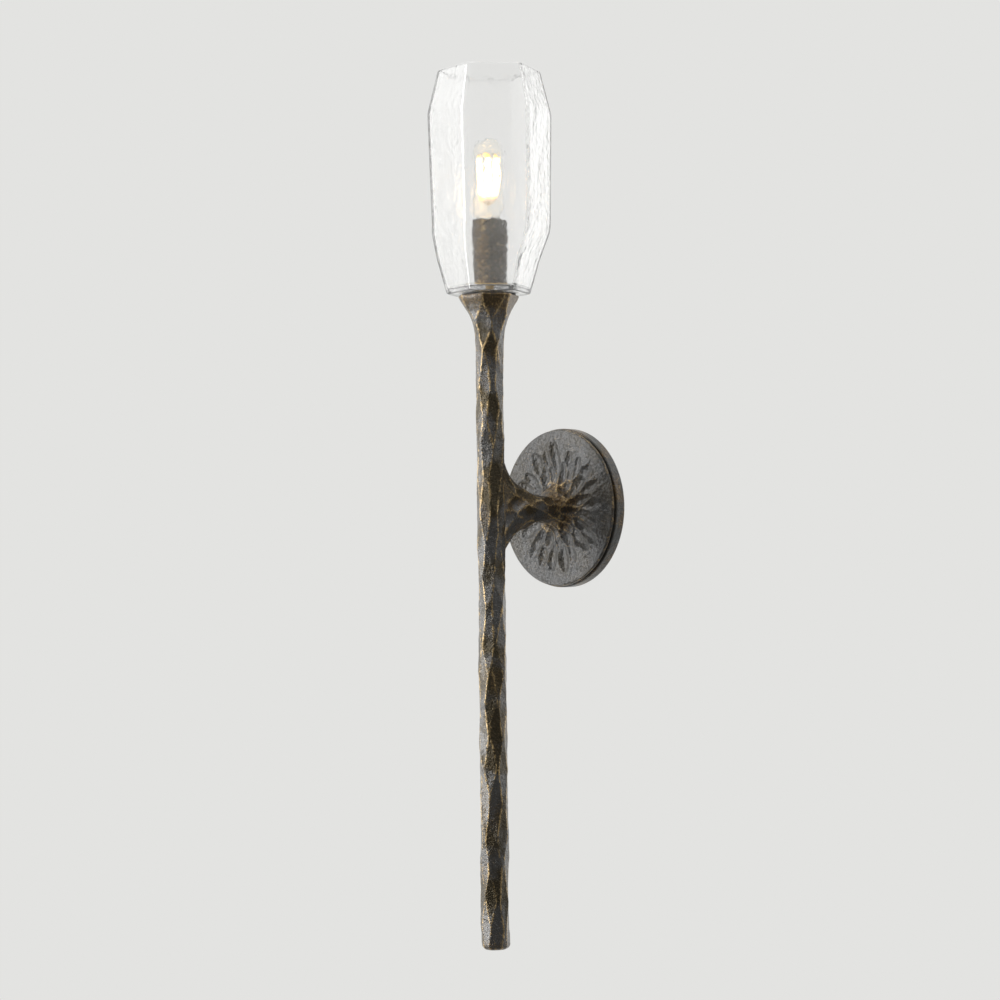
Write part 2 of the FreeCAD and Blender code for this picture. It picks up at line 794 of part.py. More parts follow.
ring(
    "arm_nipple",
    "sizes.nipple_radius",
    "sizes.nipple_bore_radius",
    "places.arm_nipple_end - places.arm_nipple_start",
    "0",
    y="-places.arm_nipple_start",
    turn=OUT_OF_WALL,
)
ring(
    "arm_lock_washer",
    "sizes.lock_washer_radius",
    "sizes.nipple_radius + sizes.clearance",
    "sizes.lock_washer_thickness",
    "0",
    y="-places.washer_face",
    turn=OUT_OF_WALL,
)
hex_nut(
    "arm_nut",
    "sizes.arm_nut_width",
    "sizes.nipple_radius + sizes.clearance / 2",
    "sizes.arm_nut_height",
    y="-places.arm_nut_face",
    turn=OUT_OF_WALL,
)
bushing_radius = "(sizes.nipple_bore_radius - sizes.clearance / 2)"
bushing_bore = bushing_radius + " - sizes.bushing_wall"
turned(
    "nipple_bushing",
    [
        (bushing_bore, "0"),
        ("sizes.nipple_radius", "0"),
        ("sizes.nipple_radius", "sizes.bushing_rim"),
        (bushing_radius, "sizes.bushing_rim"),
        (bushing_radius, "sizes.bushing_rim + sizes.bushing_length"),
        (bushing_bore, "sizes.bushing_rim + sizes.bushing_length"),
    ],
    y="-(places.arm_nipple_start - sizes.bushing_rim)",
    turn=OUT_OF_WALL,
)

# ---------------------------------------------------------------------------------------------------
# Glass shade and what clamps it on the cup
# ---------------------------------------------------------------------------------------------------

ring(
    "lamp_nipple",
    "sizes.nipple_radius",
    "sizes.nipple_bore_radius",
    "places.lamp_nipple_top - places.lamp_nipple_bottom",
    "places.lamp_nipple_bottom",
)
ring(
    "shade_gasket",
    "sizes.gasket_radius",
    "sizes.shade_hole_radius",
    "sizes.gasket_thickness",
    "sizes.cup_top",
)
ring(
    "shade_washer",
    "sizes.shade_washer_radius",
    "sizes.nipple_radius + sizes.clearance",
    "sizes.shade_washer_thickness",
    "places.shade_inside",
)
hex_nut(
    "shade_nut",
    "sizes.shade_nut_width",
    "sizes.nipple_radius + sizes.clearance / 2",
    "sizes.shade_nut_height",
    z="places.sleeve_seat",
)


def six_sided(name, tiers):
    # A six-sided solid through the tiers, each (radius to the corners, height).
    sections = []
    for index, (radius, height) in enumerate(tiers):
        section = document.addObject("Part::RegularPolygon", "%s_tier%d" % (name, index))
        section.Polygon = 6
        section.setExpression("Circumradius", radius)
        section.setExpression("Placement.Base.z", height)
        sections.append(section)
    loft = document.addObject("Part::Loft", name)
    loft.Sections = sections
    loft.Solid = True
    loft.Ruled = True
    return loft


corner_wall = "sizes.shade_wall / cos(30 deg)"
foot_flare = "(sizes.shade_waist_radius - sizes.shade_foot_radius) / sizes.shade_waist_height"
shade_outside = six_sided(
    "shade_outside",
    [
        ("sizes.shade_foot_radius", "0"),
        ("sizes.shade_waist_radius", "sizes.shade_waist_height"),
        ("sizes.shade_shoulder_radius", "sizes.shade_shoulder_height"),
        ("sizes.shade_rim_radius", "sizes.shade_height"),
    ],
)
shade_hollow = six_sided(
    "shade_hollow",
    [
        (
            "sizes.shade_foot_radius + %s * sizes.shade_floor - %s" % (foot_flare, corner_wall),
            "sizes.shade_floor",
        ),
        ("sizes.shade_waist_radius - " + corner_wall, "sizes.shade_waist_height"),
        ("sizes.shade_shoulder_radius - " + corner_wall, "sizes.shade_shoulder_height"),
        ("sizes.shade_rim_radius - " + corner_wall, "sizes.shade_height"),
    ],
)
shade_hole = rod("shade_hole", "sizes.shade_hole_radius", "sizes.shade_floor", y="0")
glass_shade = cut("glass_shade_cut", shade_outside, [shade_hollow, shade_hole])
place(glass_shade, z="places.shade_bottom", turn=(Vector(0, 0, 1), value("sizes.shade_turn")))
glass_shade.setExpression("Placement.Rotation.Angle", "sizes.shade_turn")
keep(glass_shade, "glass_shade")

# ---------------------------------------------------------------------------------------------------
# Lampholder
# ---------------------------------------------------------------------------------------------------

leg_height = "sizes.strap_thickness + sizes.strap_rise + sizes.strap_leg"
strap_half = "(sizes.holder_radius + sizes.strap_thickness)"
strap_low_y = "places.axis_y - sizes.strap_width / 2"
strap_blocks = [rod("strap_base", strap_half, "sizes.strap_thickness", z="places.nut_top")]
for name, low_x in [("left", "-" + strap_half), ("right", "sizes.holder_radius")]:
    strap_blocks.append(
        block(
            "strap_leg_" + name,
            "sizes.strap_thickness",
            "sizes.strap_width",
            leg_height,
            low_x,
            strap_low_y,
            "places.nut_top",
        )
    )


def strap_screw_cutters(prefix):
    # Holes for the two screws that hold the lampholder between the strap's legs.
    reach = "sizes.strap_thickness + sizes.strap_screw_length + sizes.clearance"
    start = "sizes.holder_radius - sizes.strap_screw_length - sizes.clearance"
    return [
        rod(
            "%s_%s" % (prefix, name),
            "sizes.strap_screw_hole_radius",
            reach,
            x=low,
            z="places.strap_screw_height",
            turn=ALONG_X,
        )
        for name, low in [("right", start), ("left", "-(%s) - (%s)" % (start, reach))]
    ]


nipple_hole = rod(
    "strap_nipple_hole", "sizes.nipple_hole_radius", "sizes.strap_thickness", z="places.nut_top"
)
strap_blank = fused("strap_blank", strap_blocks)
keep(
    cut("lampholder_strap_cut", strap_blank, [nipple_hole] + strap_screw_cutters("strap_hole")),
    "lampholder_strap",
)


def strap_screw(side):
    shank_length = "(sizes.strap_thickness + sizes.strap_screw_length)"
    shank_low = "sizes.holder_radius - sizes.strap_screw_length"
    head_low = strap_half
    if side < 0:
        shank_low = "-(%s) - %s" % (shank_low, shank_length)
        head_low = "-%s - sizes.strap_head_height" % strap_half
    shank = rod(
        "strap_shank_%d" % (side + 1),
        "sizes.strap_screw_radius",
        shank_length,
        x=shank_low,
        z="places.strap_screw_height",
        turn=ALONG_X,
    )
    head = rod(
        "strap_head_%d" % (side + 1),
        "sizes.strap_head_radius",
        "sizes.strap_head_height",
        x=head_low,
        z="places.strap_screw_height",
        turn=ALONG_X,
    )
    return fused("strap_screw_%d" % (side + 1), [shank, head])


strap_screws = document.addObject("Part::Compound", "strap_screw_pair")
strap_screws.Links = [strap_screw(1), strap_screw(-1)]
keep(strap_screws, "strap_screws")

holder_blank = turned(
    "holder_blank",
    [
        ("0", "0"),
        ("sizes.holder_radius", "0"),
        ("sizes.holder_radius", "sizes.holder_height"),
        ("sizes.holder_bore_radius", "sizes.holder_height"),
        ("sizes.holder_bore_radius", "sizes.holder_floor"),
        ("0", "sizes.holder_floor"),
    ],
    z="places.holder_bottom",
)
SUBPARTS.remove(holder_blank)
rivet_depth = "sizes.holder_floor / 2"
holder_cutters = strap_screw_cutters("holder_hole")
for side in (-1, 1):
    holder_cutters.append(
        rod(
            "lead_hole_%d" % (side + 1),
            "places.lead_hole_radius",
            "sizes.lead_entry + sizes.clearance",
            x="%d * sizes.lead_spacing" % side,
            z="places.holder_bottom",
        )
    )
holder_cutters.append(
    rod(
        "rivet_hole",
        "sizes.rivet_radius + sizes.clearance / 2",
        rivet_depth,
        x="-sizes.rivet_place",
        z="places.holder_seat - (%s)" % rivet_depth,
    )
)
keep(cut("holder_cut", holder_blank, holder_cutters), "lampholder_body")

ring(
    "lampholder_screw_shell",
    "places.shell_radius",
    "places.shell_inside_radius",
    "sizes.shell_height",
    "places.holder_seat + sizes.contact_thickness + sizes.clearance",
)


def centre_contact():
    # A springy strip: flat where it is riveted, raised under the bulb's tip.
    thick = "sizes.contact_thickness"
    rise = "sizes.contact_rise"
    body = document.addObject("PartDesign::Body", "centre_contact_body")
    points = [
        ("-sizes.rivet_place - sizes.contact_width / 2", "0"),
        ("-sizes.rivet_place + sizes.contact_width / 2", "0"),
        ("-sizes.tip_radius / 2", rise),
        ("sizes.tip_radius", rise),
        ("sizes.tip_radius", "%s + %s" % (rise, thick)),
        ("-sizes.tip_radius / 2 - %s / 2" % thick, "%s + %s" % (rise, thick)),
        ("-sizes.rivet_place + sizes.contact_width / 2 - %s / 2" % thick, thick),
        ("-sizes.rivet_place - sizes.contact_width / 2", thick),
    ]
    sketch = outline(body, points)
    pad = body.newObject("PartDesign::Pad", "strip")
    pad.Profile = sketch
    pad.setExpression("Length", "sizes.contact_width")
    place(body, y="places.axis_y + sizes.contact_width / 2", z="places.holder_seat")
    hole = rod(
        "contact_hole",
        "sizes.rivet_radius + sizes.clearance / 2",
        thick,
        x="-sizes.rivet_place",
        z="places.holder_seat",
    )
    return keep(cut("centre_contact_cut", body, [hole]), "centre_contact")


centre_contact()
turned(
    "contact_rivet",
    [
        ("0", "0"),
        ("sizes.rivet_radius", "0"),
        ("sizes.rivet_radius", rivet_depth + " + sizes.contact_thickness"),
        ("sizes.rivet_head_radius", rivet_depth + " + sizes.contact_thickness"),
        ("sizes.rivet_head_radius", rivet_depth + " + 2 * sizes.contact_thickness"),
        ("0", rivet_depth + " + 2 * sizes.contact_thickness"),
    ],
    x="-sizes.rivet_place",
    z="places.holder_seat - (%s)" % rivet_depth,
)

ring(
    "candle_sleeve",
    "sizes.sleeve_radius",
    "sizes.sleeve_radius - sizes.sleeve_wall",
    "sizes.sleeve_height",
    "places.sleeve_seat",
)

# ---------------------------------------------------------------------------------------------------
# Bulb, each piece drawn from the contact tip up
# ---------------------------------------------------------------------------------------------------

tip_round = "sizes.tip_height / 2"
turned(
    "bulb_contact_tip",
    [
        ("0", "0"),
        (
            "sizes.tip_radius",
            tip_round,
            "(sizes.tip_radius ^ 2 + (%s) ^ 2) / (2 * %s)" % (tip_round, tip_round),
        ),
        ("sizes.tip_radius", "sizes.tip_height"),
        ("0", "sizes.tip_height"),
    ],
    z="places.bulb_bottom",
)
turned(
    "bulb_insulator",
    [
        ("0", "sizes.tip_height"),
        ("sizes.tip_radius + sizes.cap_wall", "sizes.tip_height"),
        ("places.cap_valley_radius", "sizes.cap_bottom"),
        ("0", "sizes.cap_bottom"),
    ],
    z="places.bulb_bottom",
)

half_pitch = "sizes.cap_thread_pitch / 2"
thread_round = "((%s) ^ 2 + sizes.cap_thread_depth ^ 2) / (2 * sizes.cap_thread_depth)" % half_pitch
cap_points = [
    ("places.cap_inside_radius", "sizes.cap_bottom"),
    ("places.cap_valley_radius", "sizes.cap_bottom"),
]
for crest in range(1, int(value("sizes.cap_turns")) + 1):
    crest_top = "sizes.cap_bottom + %d * sizes.cap_thread_pitch" % crest
    cap_points.append(("places.cap_valley_radius", crest_top, thread_round))
cap_points.append(("places.cap_valley_radius", "places.cap_top"))
cap_points.append(("places.cap_inside_radius", "places.cap_top"))
turned("bulb_screw_cap", cap_points, z="places.bulb_bottom")

neck_inside = "sizes.bulb_neck_radius - sizes.bulb_glass"
glass_inside = "(sizes.bulb_radius - sizes.bulb_glass)"
neck_top = "places.cap_top + sizes.bulb_glass"
dome_bottom = "sizes.bulb_length - sizes.bulb_radius"
turned(
    "bulb_envelope",
    [
        (neck_inside, "places.envelope_bottom"),
        ("sizes.bulb_neck_radius", "places.envelope_bottom"),
        ("sizes.bulb_neck_radius", neck_top),
        ("sizes.bulb_radius", "sizes.bulb_shoulder_height", "sizes.bulb_shoulder_round"),
        ("sizes.bulb_radius", dome_bottom),
        ("0", "sizes.bulb_length", "sizes.bulb_radius"),
        ("0", "sizes.bulb_length - sizes.bulb_glass"),
        (glass_inside, dome_bottom, "-" + glass_inside),
        (glass_inside, "sizes.bulb_shoulder_height"),
        (neck_inside, neck_top, "-(sizes.bulb_shoulder_round - sizes.bulb_glass)"),
    ],
    z="places.bulb_bottom",
)
stem_flange = neck_inside + " - sizes.clearance"
turned(
    "bulb_glass_stem",
    [
        ("0", "places.envelope_bottom"),
        (stem_flange, "places.envelope_bottom"),
        (stem_flange, "places.envelope_bottom + sizes.bulb_post_radius"),
        ("sizes.bulb_post_radius", "places.envelope_bottom + 2 * sizes.bulb_post_radius"),
        ("sizes.bulb_post_radius", "sizes.bulb_post_height"),
        ("0", "sizes.bulb_post_height"),
    ],
    z="places.bulb_bottom",
)


def strut(start, end, radius):
    along = end - start
    return Part.makeCylinder(radius, along.Length, start, along)


def filament_spots():
    # Foot and top of each filament, spread evenly round the post and leaning outwards.
    count = int(value("sizes.filament_count"))
    spots = []
    for index in range(count):
        angle = 2 * math.pi * (index + 0.5) / count
        out = Vector(math.cos(angle), math.sin(angle), 0)
        foot = out * value("sizes.filament_foot_place") + Vector(0, 0, value("places.filament_foot"))
        top = out * value("sizes.filament_top_place") + Vector(0, 0, value("places.filament_top"))
        spots.append((foot, top))
    return spots


filaments = [strut(foot, top, value("sizes.filament_radius")) for foot, top in filament_spots()]
filament_set = solid_feature("bulb_filaments", Part.makeCompound(filaments))
keep(place(filament_set, z="places.bulb_bottom"), "bulb_filaments")


def support_wires():
    # An upright on the glass post, with an arm to each end of every filament.
    wire = value("sizes.support_wire_radius")
    gap = Vector(0, 0, wire + value("sizes.clearance"))
    post = Vector(0, 0, value("sizes.bulb_post_height"))
    crown = Vector(0, 0, value("places.filament_top") + 2 * wire)
    upright = strut(post, crown, wire)
    arms = []
    for foot, top in filament_spots():
        arms.append(strut(post + gap, foot - gap * 1.5, wire))
        arms.append(strut(crown - gap, top + gap * 1.5, wire))
    return upright.multiFuse(arms)


wire_set = solid_feature("bulb_support_wires", support_wires())
keep(place(wire_set, z="places.bulb_bottom"), "bulb_support_wires")

# ---------------------------------------------------------------------------------------------------
# Leads inside the sconce
# ---------------------------------------------------------------------------------------------------


def lead(points, bends):
    # An insulated lead along straight runs, with an arc of the given radius at each inner point.
    edges = []
    start = points[0]
    for corner, following, bend in zip(points[1:], points[2:], bends):
        inward = (corner - start).normalize()
        onward = (following - corner).normalize()
        half_turn = inward.getAngle(onward) / 2
        cut_back = bend * math.tan(half_turn)
        arc_start = corner - inward * cut_back
        arc_end = corner + onward * cut_back
        towards_centre = (onward - inward).normalize()
        middle = corner + towards_centre * (bend / math.cos(half_turn) - bend)
        edges.append(Part.LineSegment(start, arc_start).toShape())
        edges.append(Part.Arc(arc_start, middle, arc_end).toShape())
        start = arc_end
    edges.append(Part.LineSegment(start, points[-1]).toShape())
    path = Part.Wire(edges)
    section = Part.Wire(Part.makeCircle(value("sizes.lead_radius"), points[0], points[1] - points[0]))
    tube = path.makePipeShell([section], True, False)
    expected = math.pi * value("sizes.lead_radius") ** 2 * path.Length
    print("lead length %.1f, volume ratio %.4f" % (path.Length, tube.Volume / expected))
    return tube


def mains_lead(side):
    # From the lampholder down the stem, through the arm, and into the hollow of the backplate.
    across = side * value("sizes.lead_spacing")
    axis_y = value("places.axis_y")
    lay = -value("places.lead_lay")
    drop = -value("sizes.lead_drop")
    tail = across + side * (value("sizes.lead_tail_bend") + value("sizes.lead_tail"))
    points = [
        Vector(across, axis_y, value("places.lead_top")),
        Vector(across, axis_y, 0),
        Vector(across, lay, 0),
        Vector(across, lay, drop),
        Vector(tail, lay, drop),
    ]
    bends = [value("sizes.lead_bend"), value("sizes.lead_exit_bend"), value("sizes.lead_tail_bend")]
    return lead(points, bends)


def tinned_end(side):
    tail = value("sizes.lead_spacing") + value("sizes.lead_tail_bend") + value("sizes.lead_tail")
    start = Vector(side * tail, -value("places.lead_lay"), -value("sizes.lead_drop"))
    end = start + Vector(side * value("sizes.lead_bare_length"), 0, 0)
    return strut(start, end, value("sizes.lead_core_radius"))


def earth_run():
    # From the bracket's lug across the hollow to the lug under the arm's nut.
    barrel = value("sizes.lug_barrel_length")
    bracket_end = -value("sizes.earth_screw_place") + value("sizes.lug_radius")
    arm_end = -value("sizes.arm_lug_radius")
    bracket_y = value(bracket_barrel_y)
    arm_y = value(arm_barrel_y)
    points = [
        Vector(bracket_end + 1, bracket_y, 0),
        Vector(bracket_end + barrel + 3, bracket_y, 0),
        Vector(arm_end - barrel - 3, arm_y, 0),
        Vector(arm_end - 1, arm_y, 0),
    ]
    bend = 5 * value("sizes.lead_radius")
    return lead(points, [bend, bend])


keep(solid_feature("live_lead", mains_lead(1)), "live_lead")
keep(solid_feature("neutral_lead", mains_lead(-1)), "neutral_lead")
keep(solid_feature("earth_lead", earth_run()), "earth_lead")
tinned_ends = Part.makeCompound([tinned_end(1), tinned_end(-1)])
keep(solid_feature("tinned_lead_ends", tinned_ends), "tinned_lead_ends")

# ---------------------------------------------------------------------------------------------------
# Check and write
# ---------------------------------------------------------------------------------------------------

document.recompute()
for feature in document.Objects:
    if "Invalid" in feature.State or "Error" in feature.State:
        raise RuntimeError("%s did not build: %s" % (feature.Label, feature.State))

os.makedirs("parts", exist_ok=True)
for subpart in SUBPARTS:
    shape = subpart.Shape
    if shape.isNull() or not shape.isValid() or not shape.Solids:
        raise RuntimeError("%s has no valid solid" % subpart.Label)
for subpart in SUBPARTS:
    subpart.Shape.exportStep("parts/%s.step" % subpart.Label)
    print("%-24s %d solids %10.1f mm3" % (subpart.Label, len(subpart.Shape.Solids), subpart.Shape.Volume))
print(len(SUBPARTS), "nodes")
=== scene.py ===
import math

import bpy
import numpy as np
from mathutils import Matrix, Vector


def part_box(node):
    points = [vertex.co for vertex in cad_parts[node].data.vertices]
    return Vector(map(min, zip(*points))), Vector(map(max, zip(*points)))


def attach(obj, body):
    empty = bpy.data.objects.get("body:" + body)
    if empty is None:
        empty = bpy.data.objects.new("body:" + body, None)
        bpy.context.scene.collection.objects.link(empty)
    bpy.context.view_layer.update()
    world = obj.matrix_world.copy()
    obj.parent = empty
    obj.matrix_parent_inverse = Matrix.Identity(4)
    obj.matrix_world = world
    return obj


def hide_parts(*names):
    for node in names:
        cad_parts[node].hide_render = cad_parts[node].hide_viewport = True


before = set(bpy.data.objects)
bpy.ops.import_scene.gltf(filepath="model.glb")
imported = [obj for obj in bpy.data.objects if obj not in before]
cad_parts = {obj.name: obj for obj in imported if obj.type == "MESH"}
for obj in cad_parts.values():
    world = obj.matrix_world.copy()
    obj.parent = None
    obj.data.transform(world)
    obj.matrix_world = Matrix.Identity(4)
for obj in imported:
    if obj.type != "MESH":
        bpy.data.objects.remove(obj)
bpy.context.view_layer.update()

bl_info = {
    "name": "Torch wall sconce",
    "version": (1, 0, 0),
    "blender": (4, 5, 0),
    "location": "View3D > Sidebar > Torch sconce",
    "description": "A hammered torch on a chiselled arm, with a faceted glass shade and a lit bulb",
    "category": "Add Mesh",
}

# The sconce hangs on the plane y = 0 and stands out from it along -Y. All lengths are in metres.
MM = 0.001
STEM_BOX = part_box("torch_stem")
CUP_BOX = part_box("torch_cup")
PLATE_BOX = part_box("backplate")
SHADE_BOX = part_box("glass_shade")
SLEEVE_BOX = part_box("candle_sleeve")
TORCH_Y = (STEM_BOX[0].y + STEM_BOX[1].y) / 2
# How far the bends of the bar's outline are rounded.
FLARE_BEND = 6 * MM

# The side from which the sconce is seen: turned to its right hand by this angle.
VIEW_TURN = math.radians(47.85)
VIEW_RIGHT = Vector((math.cos(VIEW_TURN), math.sin(VIEW_TURN), 0))
TO_VIEWER = Vector((math.sin(VIEW_TURN), -math.cos(VIEW_TURN), 0))


# ---------------------------------------------------------------------------------------------------
# Sizes and colours that a user may change
# ---------------------------------------------------------------------------------------------------


def length(name, millimetres, description):
    return bpy.props.FloatProperty(
        name=name,
        description=description,
        default=millimetres * MM,
        min=0.0,
        subtype="DISTANCE",
        unit="LENGTH",
    )


def hex_colour(name, colour, description):
    return bpy.props.StringProperty(name=name, description=description, default=colour)


class TorchSizes(bpy.types.PropertyGroup):
    bar_radius: length("Bar radius", 11.4, "Radius of the bar before it is hammered")
    rim_radius: length("Rim radius", 24.3, "Radius of the cup's rim before it is hammered")
    foot_round: length("Foot round", 4.0, "Rounding of the bar's foot")
    rim_round: length("Rim round", 1.3, "Rounding of the cup's rim")
    flat_depth: length("Flat depth", 1.35, "How deep a hammered flat goes")
    flat_length: length("Flat length", 50.0, "Length of a hammered flat")
    flats_around: bpy.props.IntProperty(
        name="Flats around", description="Hammered flats around the bar", default=6, min=3
    )


class ArmSizes(bpy.types.PropertyGroup):
    root_height: length("Root height", 34.0, "Half the arm's height where it leaves the torch")
    neck_radius: length("Neck radius", 12.0, "Half the arm's height at its neck")
    neck_width: length("Neck width", 11.6, "Half the arm's width at its neck")
    root_width: length("Root width", 9.6, "Half the arm's width at the torch")
    chip_depth: length("Chip depth", 1.9, "How deep a chisel cut goes")
    chip_length: length("Chip length", 27.0, "Length of a chisel cut")


class PlateSizes(bpy.types.PropertyGroup):
    face_height: length("Face height", 13.0, "How far the plate's face stands from the wall")
    lip_width: length("Lip width", 2.6, "Thickness of the front lip")
    lip_round: length("Lip round", 1.2, "Rounding of the lip's front edge")
    groove_width: length("Groove width", 1.2, "Width of the groove behind the lip")
    groove_depth: length("Groove depth", 1.6, "Depth of the groove behind the lip")
    boss_foot: length("Boss foot", 27.0, "Radius at which the face starts to rise to the arm")
    boss_top: length("Boss top", 24.0, "How far the boss reaches from the wall")
    ray_depth: length("Ray depth", 2.5, "Depth of a gouge cut of the sunburst")


class ShadeSizes(bpy.types.PropertyGroup):
    wall: length("Wall", 3.2, "Thickness of the glass")
    floor: length("Floor", 4.3, "Thickness of the glass under the lampholder")
    hole_radius: length("Hole radius", 5.6, "Hole in the floor for the threaded tube")
    ripple_depth: length("Ripple depth", 0.07, "Height of the ripples inside the glass")


class FinishColours(bpy.types.PropertyGroup):
    bronze: hex_colour("Bronze", "#626160", "Dark patina of the torch and its arm")
    bronze_brown: hex_colour("Brown bronze", "#453D2C", "Brown patches of that patina")
    plate: hex_colour("Plate", "#484847", "Patina of the backplate")
    plate_brown: hex_colour("Brown plate", "#444038", "Brown patches of the backplate")
    sleeve: hex_colour("Sleeve", "#4A463E", "Patina of the candle sleeve")
    sleeve_brown: hex_colour("Brown sleeve", "#362E22", "Brown patches of the candle sleeve")
    # the gold and rust colours also paint a highlight band down one side of the sleeve
    gold: hex_colour("Gold", "#C4A878", "Bare bronze along the rubbed ridges")
    rust_and_sheen: hex_colour("Rust", "#5E4827", "Warm brown where wax and dust have stayed")
    glow: hex_colour("Glow", "#FFD9A0", "Light of the filaments")


class StageSizes(bpy.types.PropertyGroup):
    viewer_distance: length("Viewer distance", 1845.0, "From the torch's axis to the camera")
    viewer_drop: length("Viewer drop", 50.0, "How far the camera is below the plate's centre")
    floor_drop: length("Floor drop", 900.0, "How far the floor is below the plate's centre")
    backdrop: hex_colour("Backdrop", "#E3E3E1", "Colour of the floor and of the room behind")


# ---------------------------------------------------------------------------------------------------
# Surfaces: grids of points, cut by strokes
# ---------------------------------------------------------------------------------------------------


def new_object(name, data):
    """An object in the scene that shows this mesh, lamp or lens."""
    item = bpy.data.objects.new(name, data)
    bpy.context.scene.collection.objects.link(item)
    return item


def ripple(points, wave, seed, stretch=(1.0, 1.0, 1.0)):
    """Smooth uneven waves, about -1 to 1, as a hand or cooling glass leaves them."""
    random = np.random.RandomState(seed)
    total = np.zeros(points.shape[:-1])
    waves = 22
    for _ in range(waves):
        direction = random.normal(size=3)
        direction /= np.linalg.norm(direction)
        direction /= np.array(stretch)
        spacing = wave * random.uniform(0.7, 1.6)
        phase = random.uniform(0, 2 * math.pi)
        total += np.sin(points @ direction * (2 * math.pi / spacing) + phase)
    return total / math.sqrt(waves)


def soft_profile(places, knots, blur):
    """The value at each place along straight runs between the knots, with bends rounded over blur."""
    xs = [knot[0] for knot in knots]
    ys = [knot[1] for knot in knots]
    fine = np.arange(min(xs) - blur, max(xs) + blur, blur / 12)
    # the blur is 25 of these steps wide, and fades to nothing at both sides
    spread = np.hanning(27)[1:-1]
    half = len(spread) // 2
    values = np.pad(np.interp(fine, xs, ys), half, mode="edge")
    values = np.convolve(values, spread / spread.sum(), mode="valid")
    return np.interp(places, fine, values)


def grid_normals(points):
    """Outward normals of a grid of rings. Each ring runs anticlockwise seen from where rows end."""
    around = np.roll(points, -1, axis=1) - np.roll(points, 1, axis=1)
    along = np.gradient(points, axis=0)
    normals = np.cross(around, along)
    return normals / np.maximum(np.linalg.norm(normals, axis=2, keepdims=True), 1e-12)


class Stroke:
    """One cut of a hammer, chisel or gouge, as a hollow that is longest along the piece."""

    def __init__(self, along, turn, depth, reach, tool_radius, slant):
        self.along = along
        self.turn = turn
        self.depth = depth
        self.half_reach = reach / 2
        self.tool_radius = tool_radius
        self.slant = slant


def cut_depth(along, arcs, strokes):
    """Depth of the deepest stroke at each point, and how near the point is to a ridge, 0 to 1.

    along is a column of places along the piece, arcs the way round each ring, with the last
    column a step short of the first.
    """
    rows, columns = arcs.shape
    girth = arcs[:, -1:] + (arcs[:, -1:] - arcs[:, -2:-1])
    deepest = np.zeros((rows, columns))
    second = np.full((rows, columns), -1.0)
    slope = np.zeros((2, rows, columns))
    second_slope = np.zeros((2, rows, columns))
    for stroke in strokes:
        column = int(round(stroke.turn / (2 * math.pi) * columns)) % columns
        across = arcs - arcs[:, column : column + 1]
        across = (across + girth / 2) % girth - girth / 2
        forward = along - stroke.along
        ahead = forward * math.cos(stroke.slant) + across * math.sin(stroke.slant)
        aside = across * math.cos(stroke.slant) - forward * math.sin(stroke.slant)
        share = np.minimum(np.abs(ahead) / stroke.half_reach, 3)
        depth = stroke.depth * (1 - share**2) - aside**2 / (2 * stroke.tool_radius)
        steepness = 2 * stroke.depth * share / stroke.half_reach
        tilt = np.stack([-np.sign(ahead) * steepness, -aside / stroke.tool_radius])
        deeper = depth > deepest
        runner_up = ~deeper & (depth > second)
        second = np.where(deeper, deepest, np.where(runner_up, depth, second))
        second_slope = np.where(deeper, slope, np.where(runner_up, tilt, second_slope))
        slope = np.where(deeper, tilt, slope)
        deepest = np.where(deeper, depth, deepest)
    # a ridge is where two hollows meet at an angle: a thin crest, and wider wear beside it
    angle = np.linalg.norm(slope - second_slope, axis=0)
    distance = (deepest - second) / np.maximum(angle, 0.05)
    sharpness = np.clip((angle - 0.12) / 0.4, 0, 1)
    crest_width = 0.6 * MM
    worn_width = 2.2 * MM
    crest = np.exp(-((distance / crest_width) ** 2))
    beside = np.exp(-((distance / worn_width) ** 2))
    return deepest, (0.6 * crest + 0.4 * beside) * sharpness


def soften(values, passes):
    """Wears sharp edges off a field over a ring grid."""
    for _ in range(passes):
        values = (np.roll(values, 1, axis=1) + 2 * values + np.roll(values, -1, axis=1)) / 4
        padded = np.pad(values, ((1, 1), (0, 0)), mode="edge")
        values = (padded[:-2] + 2 * padded[1:-1] + padded[2:]) / 4
    return values


def fade(values, start, end):
    """0 before start, 1 after end, with a soft step between."""
    share = np.clip((values - start) / (end - start), 0, 1)
    return share * share * (3 - 2 * share)


def ring_arcs(points):
    """The way round each ring up to each of its points."""
    steps = np.linalg.norm(np.diff(points, axis=1), axis=2)
    return np.concatenate([np.zeros((len(points), 1)), np.cumsum(steps, axis=1)], axis=1)


def rings_about_torch(reach, heights, angles):
    """A grid of rings round the torch's upright axis."""
    return np.stack(
        [
            reach * np.cos(angles),
            TORCH_Y + reach * np.sin(angles),
            np.broadcast_to(heights, reach.shape),
        ],
        axis=2,
    )


